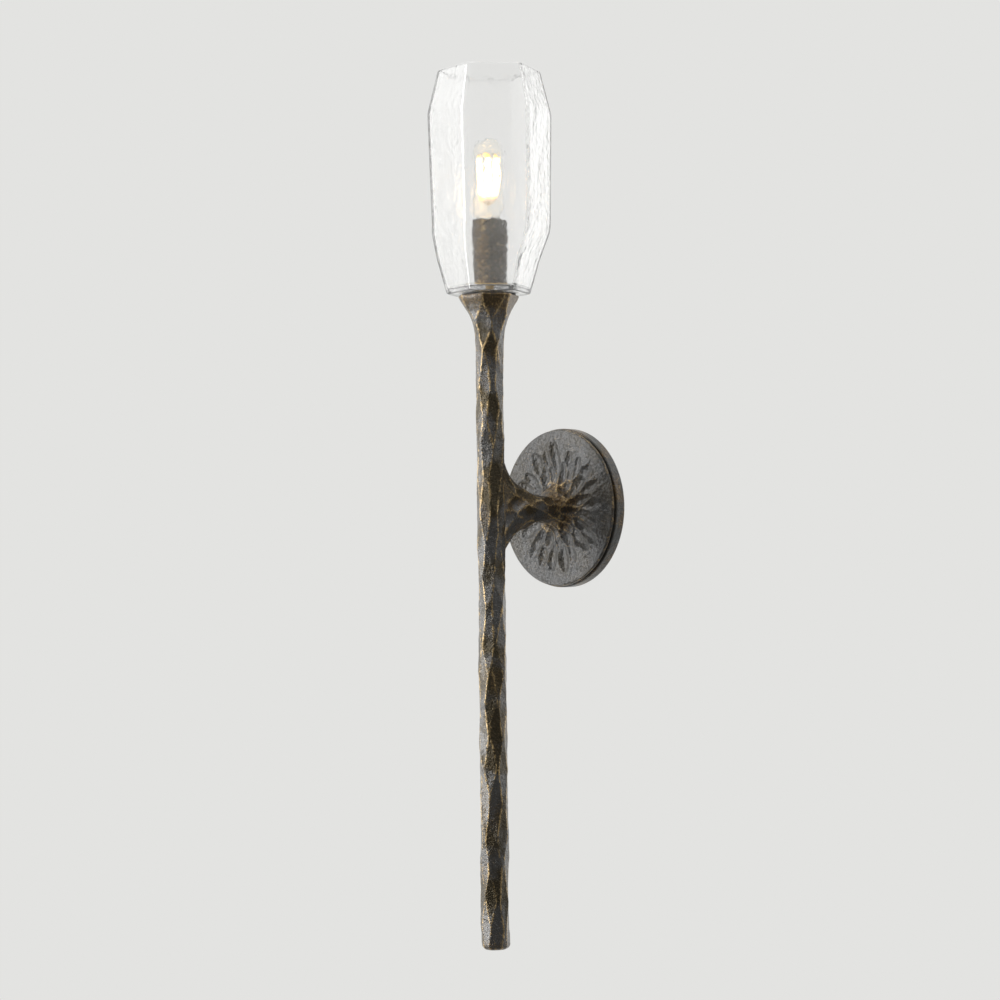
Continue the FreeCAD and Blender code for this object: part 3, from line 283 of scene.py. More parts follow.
def grid_piece(name, points, marks=None, closed_rows=False):
    """A closed mesh through a grid of rings. Its two ends are closed, or meet if closed_rows."""
    rows, columns = points.shape[:2]
    vertices = points.reshape(-1, 3).tolist()
    index = np.arange(rows * columns).reshape(rows, columns)
    lower = index if closed_rows else index[:-1]
    upper = np.roll(index, -1, axis=0) if closed_rows else index[1:]
    quads = np.stack(
        [lower, np.roll(lower, -1, axis=1), np.roll(upper, -1, axis=1), upper], axis=-1
    )
    faces = quads.reshape(-1, 4).tolist()
    if not closed_rows:
        for ring, backwards in ((index[0], True), (index[-1], False)):
            centre = len(vertices)
            vertices.append(points.reshape(-1, 3)[ring].mean(axis=0).tolist())
            for first, after in zip(ring, np.roll(ring, -1)):
                pair = [int(after), int(first)] if backwards else [int(first), int(after)]
                faces.append(pair + [centre])
    mesh = bpy.data.meshes.new(name)
    mesh.from_pydata(vertices, [], faces)
    for mark, values in (marks or {}).items():
        attribute = mesh.attributes.new(mark, "FLOAT", "POINT")
        flat = np.zeros(len(vertices), np.float32)
        flat[: values.size] = values.ravel()
        attribute.data.foreach_set("value", flat)
    mesh.polygons.foreach_set("use_smooth", [True] * len(mesh.polygons))
    mesh.update()
    return new_object(name, mesh)


def finish_piece(piece, material, body, slot, *nodes):
    piece.data.materials.append(material)
    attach(piece, body)
    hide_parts(*nodes)


# ---------------------------------------------------------------------------------------------------
# Materials
# ---------------------------------------------------------------------------------------------------


def linear(colour):
    """An sRGB hex colour as linear red, green, blue and 1."""
    channels = [int(colour[i : i + 2], 16) / 255 for i in (1, 3, 5)]
    turned = [c / 12.92 if c <= 0.04045 else ((c + 0.055) / 1.055) ** 2.4 for c in channels]
    return (*turned, 1.0)


def add(tree, kind, links=None, **settings):
    """One node with its settings. links maps a socket to a value or to the socket that feeds it.

    The colours of a Mix node are its sockets 6 and 7, and their share is socket 0.
    """
    node = tree.nodes.new("ShaderNode" + kind)
    for name, value in settings.items():
        setattr(node, name, value)
    for socket, value in (links or {}).items():
        if isinstance(value, bpy.types.NodeSocket):
            tree.links.new(value, node.inputs[socket])
        else:
            node.inputs[socket].default_value = value
    return node


def blank_material(name):
    material = bpy.data.materials.new(name)
    material.use_nodes = True
    tree = material.node_tree
    tree.nodes.clear()
    place = add(tree, "TexCoord").outputs["Object"]
    return material, tree, place


def close_material(tree, shader):
    add(tree, "OutputMaterial", {"Surface": shader})


def per_metre(millimetres):
    """The scale that gives a pattern of this size, for coordinates in metres."""
    return 1000.0 / millimetres


def patina(name, ground_colours, grain_mm, grain_depth_mm, fleck_mm, gloss):
    """Bronze casting, blackened, waxed and rubbed: dark flats, broken gold ridges, brown dust.

    grain_mm is the grit of the sand mould, drawn a little coarse so that it shows. The meshes say
    where the ridges are and where dust has settled. On the sleeve the same mark also carries a
    painted highlight band down one side.
    """
    colours = bpy.context.scene.finish_colours
    material, tree, place = blank_material(name)
    ridge = add(tree, "Attribute", attribute_name="ridge").outputs["Fac"]
    dust_and_sheen = add(tree, "Attribute", attribute_name="dust_and_sheen").outputs["Fac"]
    grit = add(
        tree,
        "TexNoise",
        {"Vector": place, "Scale": per_metre(grain_mm), "Detail": 5.0, "Roughness": 0.65},
    )
    patches = add(tree, "TexNoise", {"Vector": place, "Scale": per_metre(24.0), "Detail": 4.0})
    gaps = add(tree, "TexNoise", {"Vector": place, "Scale": per_metre(7.0), "Detail": 3.0})
    flecks = add(
        tree,
        "TexNoise",
        {"Vector": place, "Scale": per_metre(fleck_mm), "Detail": 5.0, "Roughness": 0.7},
    )
    brown = add(
        tree,
        "MapRange",
        {"Value": patches.outputs["Fac"], "From Min": 0.42, "From Max": 0.60},
        interpolation_type="SMOOTHSTEP",
    )
    ground = add(
        tree,
        "Mix",
        {0: brown.outputs[0], 6: linear(ground_colours[0]), 7: linear(ground_colours[1])},
        data_type="RGBA",
    )
    # brown dust lies in flecks, thicker where the mesh says; on the sleeve the same flecks also paint
    # a highlight band
    dust_and_sheen_level = add(
        tree, "Math", {0: dust_and_sheen, 1: 0.42, 2: flecks.outputs["Fac"]}, operation="MULTIPLY_ADD"
    )
    rust_and_sheen_mask = add(
        tree,
        "MapRange",
        {"Value": dust_and_sheen_level.outputs[0], "From Min": 0.56, "From Max": 1.0},
        interpolation_type="SMOOTHSTEP",
    )
    dust_and_sheen_colour = add(
        tree,
        "Mix",
        {0: rust_and_sheen_mask.outputs[0], 6: ground.outputs[2], 7: linear(colours.rust_and_sheen)},
        data_type="RGBA",
    )
    # gold shows on the ridges with gaps, and as single flecks in the dust and in the sleeve's painted
    # highlight band
    whole = add(
        tree,
        "MapRange",
        {"Value": gaps.outputs["Fac"], "From Min": 0.34, "From Max": 0.58, "To Min": 0.3},
        interpolation_type="SMOOTHSTEP",
    )
    rubbed = add(tree, "Math", {0: ridge, 1: whole.outputs[0]}, operation="MULTIPLY")
    worn = add(
        tree,
        "Math",
        {0: rubbed.outputs[0], 1: 0.35, 2: flecks.outputs["Fac"]},
        operation="MULTIPLY_ADD",
    )
    bare = add(tree, "Math", {0: dust_and_sheen, 1: 0.13, 2: worn.outputs[0]}, operation="MULTIPLY_ADD")
    gold_mask = add(
        tree,
        "MapRange",
        {"Value": bare.outputs[0], "From Min": 0.60, "From Max": 0.88},
        interpolation_type="SMOOTHSTEP",
    )
    colour = add(
        tree,
        "Mix",
        {0: gold_mask.outputs[0], 6: dust_and_sheen_colour.outputs[2], 7: linear(colours.gold)},
        data_type="RGBA",
    )
    roughness = add(
        tree,
        "MapRange",
        {
            "Value": grit.outputs["Fac"],
            "From Min": 0.3,
            "From Max": 0.7,
            "To Min": gloss - 0.08,
            "To Max": gloss + 0.12,
        },
    )
    bumps = add(
        tree,
        "Bump",
        {"Height": grit.outputs["Fac"], "Distance": grain_depth_mm * MM, "Strength": 1.0},
    )
    shader = add(
        tree,
        "BsdfPrincipled",
        {
            "Base Color": colour.outputs[2],
            "Metallic": 0.7,
            "Roughness": roughness.outputs[0],
            "Coat Weight": 0.5,
            "Coat Roughness": gloss - 0.06,
            "Normal": bumps.outputs[0],
        },
    )
    close_material(tree, shader.outputs[0])
    return material


def shade_glass():
    """Soda-lime glass, blown into a six-sided mould: clear under a thin veil, with drawn ripples."""
    material, tree, place = blank_material("blown_soda_lime_glass")
    drawn = add(tree, "Mapping", {"Vector": place, "Scale": (1.0, 1.0, 0.55)})
    streaks = add(
        tree,
        "TexNoise",
        {"Vector": drawn.outputs[0], "Scale": per_metre(3.2), "Detail": 4.0, "Roughness": 0.6},
    )
    bumps = add(
        tree, "Bump", {"Height": streaks.outputs["Fac"], "Distance": 0.30 * MM, "Strength": 0.7}
    )
    shader = add(
        tree,
        "BsdfPrincipled",
        {
            "Base Color": linear("#FFFFFF"),
            "Roughness": 0.03,
            "IOR": 1.5,
            "Transmission Weight": 0.97,
            "Normal": bumps.outputs[0],
        },
    )
    close_material(tree, shader.outputs[0])
    return material


def bulb_glass():
    """Thin drawn lime glass of a lamp bulb: clear and smooth."""
    material, tree, place = blank_material("lamp_bulb_glass")
    waves = add(tree, "TexNoise", {"Vector": place, "Scale": per_metre(9.0), "Detail": 1.0})
    bumps = add(
        tree, "Bump", {"Height": waves.outputs["Fac"], "Distance": 0.1 * MM, "Strength": 0.3}
    )
    shader = add(
        tree,
        "BsdfPrincipled",
        {
            "Base Color": linear("#FFFEFB"),
            "Roughness": 0.05,
            "IOR": 1.5,
            "Transmission Weight": 1.0,
            "Normal": bumps.outputs[0],
        },
    )
    close_material(tree, shader.outputs[0])
    return material


def lit_filament():
    """Coated filament at full light: white-hot along its middle, yellow at its ends."""
    colours = bpy.context.scene.finish_colours
    material, tree, place = blank_material("lit_filament_coating")
    low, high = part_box("bulb_filaments")
    split = add(tree, "SeparateXYZ", {0: place})
    share = add(
        tree, "MapRange", {"Value": split.outputs[2], "From Min": low.z, "From Max": high.z}
    )
    ends = add(tree, "ValToRGB", {0: share.outputs[0]})
    ramp = ends.color_ramp
    for end in ramp.elements:
        end.color = linear("#FFC23C")
    for height in (0.12, 0.88):
        ramp.elements.new(height).color = linear(colours.glow)
    off_middle = add(tree, "Math", {0: share.outputs[0], 1: 0.5}, operation="SUBTRACT")
    reach = add(tree, "Math", {0: off_middle.outputs[0]}, operation="ABSOLUTE")
    strength = add(
        tree,
        "MapRange",
        {
            "Value": reach.outputs[0],
            "From Min": 0.34,
            "From Max": 0.49,
            "To Min": 15.0,
            "To Max": 1.6,
        },
    )
    light = add(tree, "Emission", {"Color": ends.outputs[0], "Strength": strength.outputs[0]})
    close_material(tree, light.outputs[0])
    return material


def fine_grain(tree, place, grain_mm, roughness, spread, depth_mm, strength):
    """A gloss that varies by this spread over a fine grain, and the grain's bumps."""
    grain = add(tree, "TexNoise", {"Vector": place, "Scale": per_metre(grain_mm), "Detail": 3.0})
    gloss = add(
        tree,
        "MapRange",
        {
            "Value": grain.outputs["Fac"],
            "To Min": roughness * (1 - spread),
            "To Max": roughness * (1 + spread),
        },
    )
    bumps = add(
        tree,
        "Bump",
        {"Height": grain.outputs["Fac"], "Distance": depth_mm * MM, "Strength": strength},
    )
    return gloss.outputs[0], bumps.outputs[0]


def plain_metal(name, colour, roughness, grain_mm, streak=(1.0, 1.0, 1.0)):
    """Plated or plain small metal parts: an even colour with fine tool marks in the gloss."""
    material, tree, place = blank_material(name)
    drawn = add(tree, "Mapping", {"Vector": place, "Scale": streak})
    gloss, bumps = fine_grain(tree, drawn.outputs[0], grain_mm, roughness, 0.3, 0.02, 0.5)
    shader = add(
        tree,
        "BsdfPrincipled",
        {"Base Color": linear(colour), "Metallic": 1.0, "Roughness": gloss, "Normal": bumps},
    )
    close_material(tree, shader.outputs[0])
    return material


def plain_solid(name, colour, roughness, grain_mm, grain_depth_mm, ior=1.5):
    """Moulded plastic, rubber or fired insulator: an even colour under a fine moulded grain."""
    material, tree, place = blank_material(name)
    gloss, bumps = fine_grain(tree, place, grain_mm, roughness, 0.2, grain_depth_mm, 0.6)
    shader = add(
        tree,
        "BsdfPrincipled",
        {"Base Color": linear(colour), "IOR": ior, "Roughness": gloss, "Normal": bumps},
    )
    close_material(tree, shader.outputs[0])
    return material


# ---------------------------------------------------------------------------------------------------
# Pieces
# ---------------------------------------------------------------------------------------------------


class SCONCE_OT_torch(bpy.types.Operator):
    """Hammer the torch: a round bar that flares into the cup, cut into long flats"""

    bl_idname = "sconce.torch"
    bl_label = "Hammered torch"

    def execute(self, context):
        sizes = context.scene.torch_sizes
        low = STEM_BOX[0].z
        high = CUP_BOX[1].z
        bar = sizes.bar_radius
        rim = sizes.rim_radius
        # (height, radius) up the bar and its flare, before hammering
        knots = [
            (low, bar),
            (0.108, bar),
            (0.124, bar * 0.98),
            (0.137, bar * 1.09),
            (0.147, bar * 1.30),
            (0.154, bar * 1.62),
            (0.160, rim * 0.90),
            (high - 0.001, rim),
        ]
        ring_step = 0.55 * MM
        foot_bend = np.linspace(0, math.pi / 2, 8)
        sides = np.arange(low + sizes.foot_round, high - sizes.rim_round, ring_step)
        rim_bend = np.linspace(math.pi / 2, 0, 6)
        heights = np.concatenate(
            [
                [low, low],
                low + sizes.foot_round * (1 - np.cos(foot_bend)),
                sides[1:],
                high - sizes.rim_round * (1 - np.cos(rim_bend)),
                [high, high],
            ]
        )
        inset = np.concatenate(
            [
                [sizes.foot_round] * 2,
                sizes.foot_round * (1 - np.sin(foot_bend)),
                np.zeros(len(sides) - 1),
                sizes.rim_round * (1 - np.sin(rim_bend)),
                [sizes.rim_round] * 2,
            ]
        )
        # the flat ends draw in towards the axis
        share = np.ones(len(heights))
        share[[0, 1, -2, -1]] = [0.4, 0.8, 0.85, 0.4]
        side_heights = np.clip(heights, low + sizes.foot_round, high - sizes.rim_round)
        radii = soft_profile(side_heights, knots, FLARE_BEND)
        angles = np.linspace(0, 2 * math.pi, 152, endpoint=False)
        arcs = radii[:, None] * angles[None, :]
        strokes = self.strokes(sizes, low, high, knots)
        depth, ridge = cut_depth(side_heights[:, None], arcs, strokes)
        depth = soften(depth, 1)
        reach = (radii[:, None] - depth - inset[:, None]) * share[:, None]
        points = rings_about_torch(reach, heights[:, None], angles)
        lumps = 0.10 * ripple(points, 9 * MM, seed=3) + 0.05 * ripple(points, 3 * MM, seed=4)
        points[..., :2] += (grid_normals(points) * lumps[..., None] * MM)[..., :2]
        # brown dust gathers at the foot and under the cup's rim
        patchy = np.clip(0.5 + 0.5 * ripple(points, 30 * MM, seed=6), 0, 1)
        foot = 1 - fade(heights, low + 1 * MM, low + 9 * MM)[:, None]
        flare = fade(heights, 0.142, 0.164)[:, None]
        dust_and_sheen = np.clip(0.38 * patchy + 0.5 * flare + 0.4 * foot, 0, 1)
        torch = grid_piece("hammered_torch", points, {"ridge": ridge, "dust_and_sheen": dust_and_sheen})
        colours = context.scene.finish_colours
        material = patina(
            "patinated_cast_bronze",
            (colours.bronze, colours.bronze_brown),
            grain_mm=1.7,
            grain_depth_mm=0.9,
            fleck_mm=1.3,
            gloss=0.29,
        )
        finish_piece(torch, material, "fixture", "hammered_bronze", "torch_stem", "torch_cup")
        return {"FINISHED"}

    def strokes(self, sizes, low, high, knots):
        random = np.random.RandomState(12)
        strokes = []
        height = low - 10 * MM
        ring = 0
        while height < high:
            # the flats are shorter and deeper on the flare
            flare = max(0.0, min(1.0, (height - 0.105) / 0.05))
            for side in range(sizes.flats_around):
                around = side + 0.5 * (ring % 2) + random.uniform(-0.18, 0.18)
                place = height + random.uniform(-5, 5) * MM
                radius = float(soft_profile(np.array([place]), knots, FLARE_BEND)[0])
                strokes.append(
                    Stroke(
                        place,
                        around * 2 * math.pi / sizes.flats_around,
                        sizes.flat_depth * random.uniform(0.8, 1.15) * (1 + 0.6 * flare),
                        sizes.flat_length * random.uniform(0.8, 1.25) * (1 - 0.3 * flare),
                        radius * random.uniform(0.85, 1.05),
                        random.uniform(-0.1, 0.1),
                    )
                )
            height += sizes.flat_length * 0.5 * (1 - 0.3 * flare)
            ring += 1
        return strokes


class SCONCE_OT_arm(bpy.types.Operator):
    """Chisel the arm that carries the torch: tall at its root, necked before the plate"""

    bl_idname = "sconce.arm"
    bl_label = "Chiselled arm"

    def execute(self, context):
        sizes = context.scene.arm_sizes
        start = TORCH_Y + 5 * MM
        end = -context.scene.plate_sizes.face_height - 2 * MM
        ring_step = 0.45 * MM
        out = np.arange(start, end, ring_step)
        away = out - TORCH_Y
        neck = sizes.neck_radius
        root = sizes.root_height
        # (distance from the torch's axis, half the arm's height or width)
        height_knots = [
            (0.005, root * 1.45),
            (0.0136, root),
            (0.020, root * 0.735),
            (0.030, root * 0.55),
            (0.040, root * 0.42),
            (0.050, neck),
            (0.058, neck * 1.02),
            (0.062, neck * 1.08),
            (0.065, neck * 1.2),
            (0.070, neck * 1.25),
        ]
        width_knots = [
            (0.005, sizes.root_width),
            (0.030, sizes.root_width * 1.1),
            (0.050, sizes.neck_width),
            (0.058, sizes.neck_width * 1.03),
            (0.062, sizes.neck_width * 1.1),
            (0.065, sizes.neck_width * 1.22),
            (0.070, sizes.neck_width * 1.28),
        ]
        bend = 5 * MM
        half_heights = soft_profile(away, height_knots, bend)[:, None]
        half_widths = soft_profile(away, width_knots, bend)[:, None]
        angles = np.linspace(0, 2 * math.pi, 168, endpoint=False)
        sag = 1.0 * MM
        points = np.stack(
            [
                half_widths * np.sin(angles),
                np.broadcast_to(out[:, None], (len(out), len(angles))),
                half_heights * np.cos(angles) - sag,
            ],
            axis=2,
        )
        depth, ridge = cut_depth(away[:, None], ring_arcs(points), self.strokes(sizes))
        depth = soften(depth, 1) - 0.08 * MM * ripple(points, 6 * MM, seed=17)
        points = points - grid_normals(points) * depth[..., None]
        patchy = np.clip(0.6 + 0.5 * ripple(points, 16 * MM, seed=16), 0, 1)
        arm = grid_piece("chiselled_arm", points, {"ridge": 0.8 * ridge, "dust_and_sheen": 0.6 * patchy})
        material = bpy.data.materials.get("patinated_cast_bronze")
        finish_piece(arm, material, "fixture", "hammered_bronze", "wall_arm")
        return {"FINISHED"}

    def strokes(self, sizes):
        random = np.random.RandomState(5)
        strokes = []
        chips = 7
        tool_radius = 12 * MM
        for ring, place in enumerate((0.010, 0.021, 0.033, 0.046, 0.060)):
            for chip in range(chips):
                around = chip + 0.5 * (ring % 2) + random.uniform(-0.15, 0.15)
                strokes.append(
                    Stroke(
                        place + random.uniform(-0.002, 0.002),
                        around * 2 * math.pi / chips,
                        sizes.chip_depth * random.uniform(0.8, 1.25),
                        sizes.chip_length * random.uniform(0.8, 1.2),
                        tool_radius * random.uniform(0.8, 1.3),
                        random.uniform(-0.6, 0.6),
                    )
                )
        return strokes


class SCONCE_OT_backplate(bpy.types.Operator):
    """Cast the backplate: a sand-textured disc with a lip, a groove and gouged rays"""

    bl_idname = "sconce.backplate"
    bl_label = "Backplate with its sunburst"

    def execute(self, context):
        sizes = context.scene.plate_sizes
        radius = PLATE_BOX[1].x
        face = sizes.face_height
        lip = radius - 1.0 * MM
        groove_front = face - sizes.lip_width
        groove_back = groove_front - sizes.groove_width
        groove_floor = lip - sizes.groove_depth
        hollow = radius - 5 * MM
        bend = np.linspace(0, math.pi / 2, 7)
        # (radius, distance from the wall), from the boss's top over the face and round the rim
        neck = 11.6 * MM
        boss = [(8 * MM, sizes.boss_top + 2 * MM)]
        rise = sizes.boss_top - face
        run = sizes.boss_foot - neck
        for step in np.linspace(0, 1, 40):
            boss.append((neck + run * step, face + rise * (1 - step) ** 2.4))
        ring_step = 0.5 * MM
        flat_radii = np.arange(sizes.boss_foot + ring_step, lip - sizes.lip_round, ring_step)
        flats = [(flat_radius, face) for flat_radius in flat_radii]
        lip_edge = [
            (
                lip - sizes.lip_round * (1 - math.sin(a)),
                face - sizes.lip_round * (1 - math.cos(a)),
            )
            for a in bend
        ]
        soft = 0.5 * MM
        groove = [
            (lip, groove_front + soft),
            (lip - soft * 0.3, groove_front + soft * 0.3),
            (lip - soft, groove_front),
            (groove_floor + soft, groove_front),
            (groove_floor, groove_front - soft * 0.5),
            (groove_floor, groove_back + soft * 0.5),
            (groove_floor + soft, groove_back),
        ]
        band_round = 1.1 * MM
        band = [
            (
                radius - band_round * (1 - math.sin(a)),
                groove_back - band_round * (1 - math.cos(a)),
            )
            for a in bend
        ]
        band += [(radius, h) for h in np.linspace(groove_back - 1.4 * MM, 0.6 * MM, 9)]
        back = [
            (radius - 0.5 * MM, 0.0),
            (hollow + 0.5 * MM, 0.0),
            (hollow, 0.5 * MM),
            (hollow, 8.4 * MM),
            (hollow - 0.6 * MM, 9.0 * MM),
            (30 * MM, 9.0 * MM),
            (6 * MM, 9.0 * MM),
        ]
        profile = np.array(boss + flats + lip_edge + groove + band + back)
        angles = np.linspace(0, 2 * math.pi, 480, endpoint=False)
        # rings run anticlockwise seen from where the rows end, which is the wall's side
        points = np.stack(
            [
                profile[:, :1] * np.sin(angles),
                np.broadcast_to(-profile[:, 1:], (len(profile), len(angles))),
                profile[:, :1] * np.cos(angles),
            ],
            axis=2,
        )
        steps = np.linalg.norm(np.diff(profile, axis=0), axis=1)
        along = np.concatenate([[0], np.cumsum(steps)])
        face_rows = len(boss) + len(flats)
        strokes = self.strokes(sizes, profile[:face_rows, 0], along[:face_rows])
        arcs = profile[:, :1] * angles[None, :]
        depth, ridge = cut_depth(along[:, None], arcs, strokes)
        carved = np.zeros(len(profile))
        carved[:face_rows] = 1.0
        # the metal stands up a little between the gouges
        depth = (soften(depth, 5) - 0.7 * MM * soften(ridge, 4)) * carved[:, None]
        # the gold has been rubbed off again but for the middle
        middle = 1 - fade(profile[:, 0], 22 * MM, 38 * MM)[:, None]
        ridge = ridge * carved[:, None] * (0.15 + 0.45 * middle)
        normals = grid_normals(points)
        grain = 0.13 * ripple(points, 2.5 * MM, seed=21) + 0.22 * ripple(points, 13 * MM, seed=22)
        grain = grain * MM * carved[:, None]
        points = points - normals * (depth + grain)[..., None]
        edge = np.exp(-(((profile[:, 0] - lip) / (0.6 * MM)) ** 2))
        edge = edge * (profile[:, 1] > groove_front)
        ridge = np.maximum(ridge, 0.5 * edge[:, None])
        # brown dust lies thickest in the groove, on the rear band and round the arm
        patchy = np.clip(0.5 + 0.5 * ripple(points, 14 * MM, seed=24), 0, 1)
        near = 1 - fade(profile[:, 0], 15 * MM, 27 * MM)[:, None]
        behind = (profile[:, 1] < groove_front)[:, None]
        dust_and_sheen = np.clip(patchy * (0.2 + 0.5 * behind) + near * (0.35 + 0.5 * patchy), 0, 1)
        plate = grid_piece("sunburst_backplate", points, {"ridge": ridge, "dust_and_sheen": dust_and_sheen})
        self.drill(plate, radius)
        colours = context.scene.finish_colours
        material = patina(
            "sand_cast_bronze_plate",
            (colours.plate, colours.plate_brown),
            grain_mm=2.6,
            grain_depth_mm=3.0,
            fleck_mm=1.6,
            gloss=0.35,
        )
        finish_piece(plate, material, "fixture", "cast_bronze_plate", "backplate")
        return {"FINISHED"}

    def strokes(self, sizes, radii, along):
        random = np.random.RandomState(31)
        strokes = []
        # (cuts around, radius of the ring of cuts, length, depth share, tool radius)
        rings = [
            (21, 37.5, 27.0, 0.90, 8.0),
            (17, 29.0, 25.0, 1.05, 6.5),
            (12, 20.5, 18.0, 1.00, 6.0),
        ]
        for ring, (count, ring_radius, reach, share, tool) in enumerate(rings):
            for cut in range(count):
                around = cut + 0.5 * (ring % 2) + random.uniform(-0.3, 0.3)
                place = (ring_radius + random.uniform(-2.4, 2.4)) * MM
                reached = float(np.interp(place, radii, along))
                strokes.append(
                    Stroke(
                        reached,
                        around * 2 * math.pi / count,
                        sizes.ray_depth * share * random.uniform(0.7, 1.2),
                        reach * MM * random.uniform(0.78, 1.15),
                        tool * MM * random.uniform(0.85, 1.3),
                        random.uniform(-0.2, 0.2),
                    )
                )
        return strokes

    def drill(self, plate, radius):
        """The holes at the top and bottom of the rim, where its set screws sit."""
        hole_radius = 2.0 * MM
        hole_out = 5.2 * MM
        sides = 32
        corners = []
        faces = []
        for hole, direction in enumerate((1, -1)):
            for reach in (radius - 6 * MM, radius + 2 * MM):
                for side in range(sides):
                    angle = 2 * math.pi * side / sides * direction
                    aside = hole_radius * math.cos(angle)
                    out = -hole_out + hole_radius * math.sin(angle)
                    corners.append((aside, out, reach * direction))
            base = hole * sides * 2
            for side in range(sides):
                after = (side + 1) % sides
                faces.append(
                    (base + side, base + after, base + sides + after, base + sides + side)
                )
            faces.append([base + side for side in reversed(range(sides))])
            faces.append([base + sides + side for side in range(sides)])
        cutter_mesh = bpy.data.meshes.new("drill")
        cutter_mesh.from_pydata(corners, [], faces)
        cutter = new_object("drill", cutter_mesh)
        holes = plate.modifiers.new("holes", "BOOLEAN")
        holes.operation = "DIFFERENCE"
        holes.solver = "EXACT"
        holes.object = cutter
        depsgraph = bpy.context.evaluated_depsgraph_get()
        drilled = bpy.data.meshes.new_from_object(plate.evaluated_get(depsgraph))
        plate.modifiers.clear()
        plate.data = drilled
        bpy.data.objects.remove(cutter)


class SCONCE_OT_shade(bpy.types.Operator):
    """Blow the glass shade: six sides in three tiers, thick-floored, open above, rippled inside"""

    bl_idname = "sconce.shade"
    bl_label = "Faceted glass shade"

    def execute(self, context):
        sizes = context.scene.shade_sizes
        low = SHADE_BOX[0].z
        high = SHADE_BOX[1].z
        # (height, radius to a corner) where the three tiers meet
        tiers = [
            (low, 0.0328),
            (low + 0.0485, 0.0466),
            (low + 0.141, 0.0489),
            (high, 0.0402),
        ]
        # the blown form stands a little to one side of its foot
        sway = [(low, -0.0003), (0.194, 0.0), (0.220, 0.0026), (0.308, 0.0020), (high, 0.0020)]
        ring_step = 1.1 * MM
        rim_start = high - 1.6 * MM
        outer = np.concatenate(
            [
                [low, low, low + 0.5 * MM, low + 1.2 * MM],
                np.arange(low + 2.2 * MM, rim_start, ring_step),
            ]
        )
        outer_inset = np.concatenate([[0.0022, 0.0012, 0.0004, 0.0001], np.zeros(len(outer) - 4)])
        floor_top = low + sizes.floor
        inner = np.arange(rim_start, floor_top + 1.6 * MM, -ring_step)
        corner = sizes.wall / math.cos(math.radians(30))
        outer_radii = soft_profile(outer, tiers, 4 * MM) - outer_inset
        inner_radii = soft_profile(inner, tiers, 9 * MM) - corner
        rim_radius = soft_profile(np.array([high]), tiers, 4 * MM)[0]
        crisp = 34.0
        rows = [(z, r, crisp, 0.0) for z, r in zip(outer, outer_radii)]
        # the rim is fire-polished round
        rim_round = 1.4 * MM
        for angle in np.linspace(0, math.pi, 11)[1:-1]:
            lift = rim_round * math.sin(angle) - rim_round
            inward = corner / 2 * (1 - math.cos(angle))
            rows.append((high + lift, rim_radius - inward, crisp, 0.2))
        rows += [(z, r, 30.0, 1.0) for z, r in zip(inner, inner_radii)]
        foot = inner_radii[-1]
        rows += [
            (floor_top + 0.6 * MM, foot - 0.9 * MM, 24.0, 0.5),
            (floor_top + 0.1 * MM, foot - 2.4 * MM, 18.0, 0.3),
            (floor_top, foot - 6.0 * MM, 10.0, 0.2),
        ]
        hole = sizes.hole_radius
        for radius in (foot * 0.6, hole + 4 * MM, hole + 0.6 * MM):
            rows.append((floor_top, radius, 0.0, 0.0))
        rows += [(floor_top - 0.5 * MM, hole, 0.0, 0.0), (low + 0.6 * MM, hole, 0.0, 0.0)]
        # the foot is a little hollow, so that it stands on its edge
        hollow = low + 0.1 * MM
        rows += [(hollow, hole + 0.6 * MM, 0.0, 0.0), (hollow, 0.022, 6.0, 0.0)]
        rows += [(low, 0.026, 14.0, 0.0)]
        points = self.sections(rows, sway)
        fine_wave = ripple(points, 4.5 * MM, seed=8, stretch=(1, 1, 1.3))
        wide_wave = ripple(points, 13 * MM, seed=9, stretch=(1, 1, 1.8))
        wave = fine_wave + 1.2 * wide_wave
        weight = np.array([row[3] for row in rows])[:, None]
        outside = np.zeros((len(rows), 1))
        outside[: len(outer)] = 0.35
        shift = wave * (weight + outside) * sizes.ripple_depth
        points = points + grid_normals(points) * shift[..., None]
        points[..., 2] = np.clip(points[..., 2], low, high)
        shade = grid_piece("blown_glass_shade", points, closed_rows=True)
        # clear glass lets the lamps' light through to the sleeve and the bulb
        shade.visible_shadow = False
        finish_piece(shade, shade_glass(), "fixture", "shade_glass", "glass_shade")
        return {"FINISHED"}

    def sections(self, rows, sway):
        """Rings with six soft corners. A row is (height, corner radius, crispness, ripple)."""
        angles = np.linspace(0, 2 * math.pi, 312, endpoint=False)
        sides = 6
        turn = math.radians(-5.5)
        points = np.zeros((len(rows), len(angles), 3))
        for index, (height, radius, crispness, _) in enumerate(rows):
            if crispness:
                apothem = radius * math.cos(math.pi / 6) * 2 ** (1 / crispness)
                total = np.zeros(len(angles))
                for side in range(sides):
                    facing = np.cos(angles - turn - (side + 0.5) * math.pi / 3)
                    total += (np.maximum(facing, 0) / apothem) ** crispness
                reach = total ** (-1 / crispness)
            else:
                reach = np.full(len(angles), radius)
            aside = np.interp(height, [s[0] for s in sway], [s[1] for s in sway])
            points[index, :, 0] = reach * np.cos(angles) + aside * VIEW_RIGHT.x
            points[index, :, 1] = TORCH_Y + reach * np.sin(angles) + aside * VIEW_RIGHT.y
            points[index, :, 2] = height
        return points


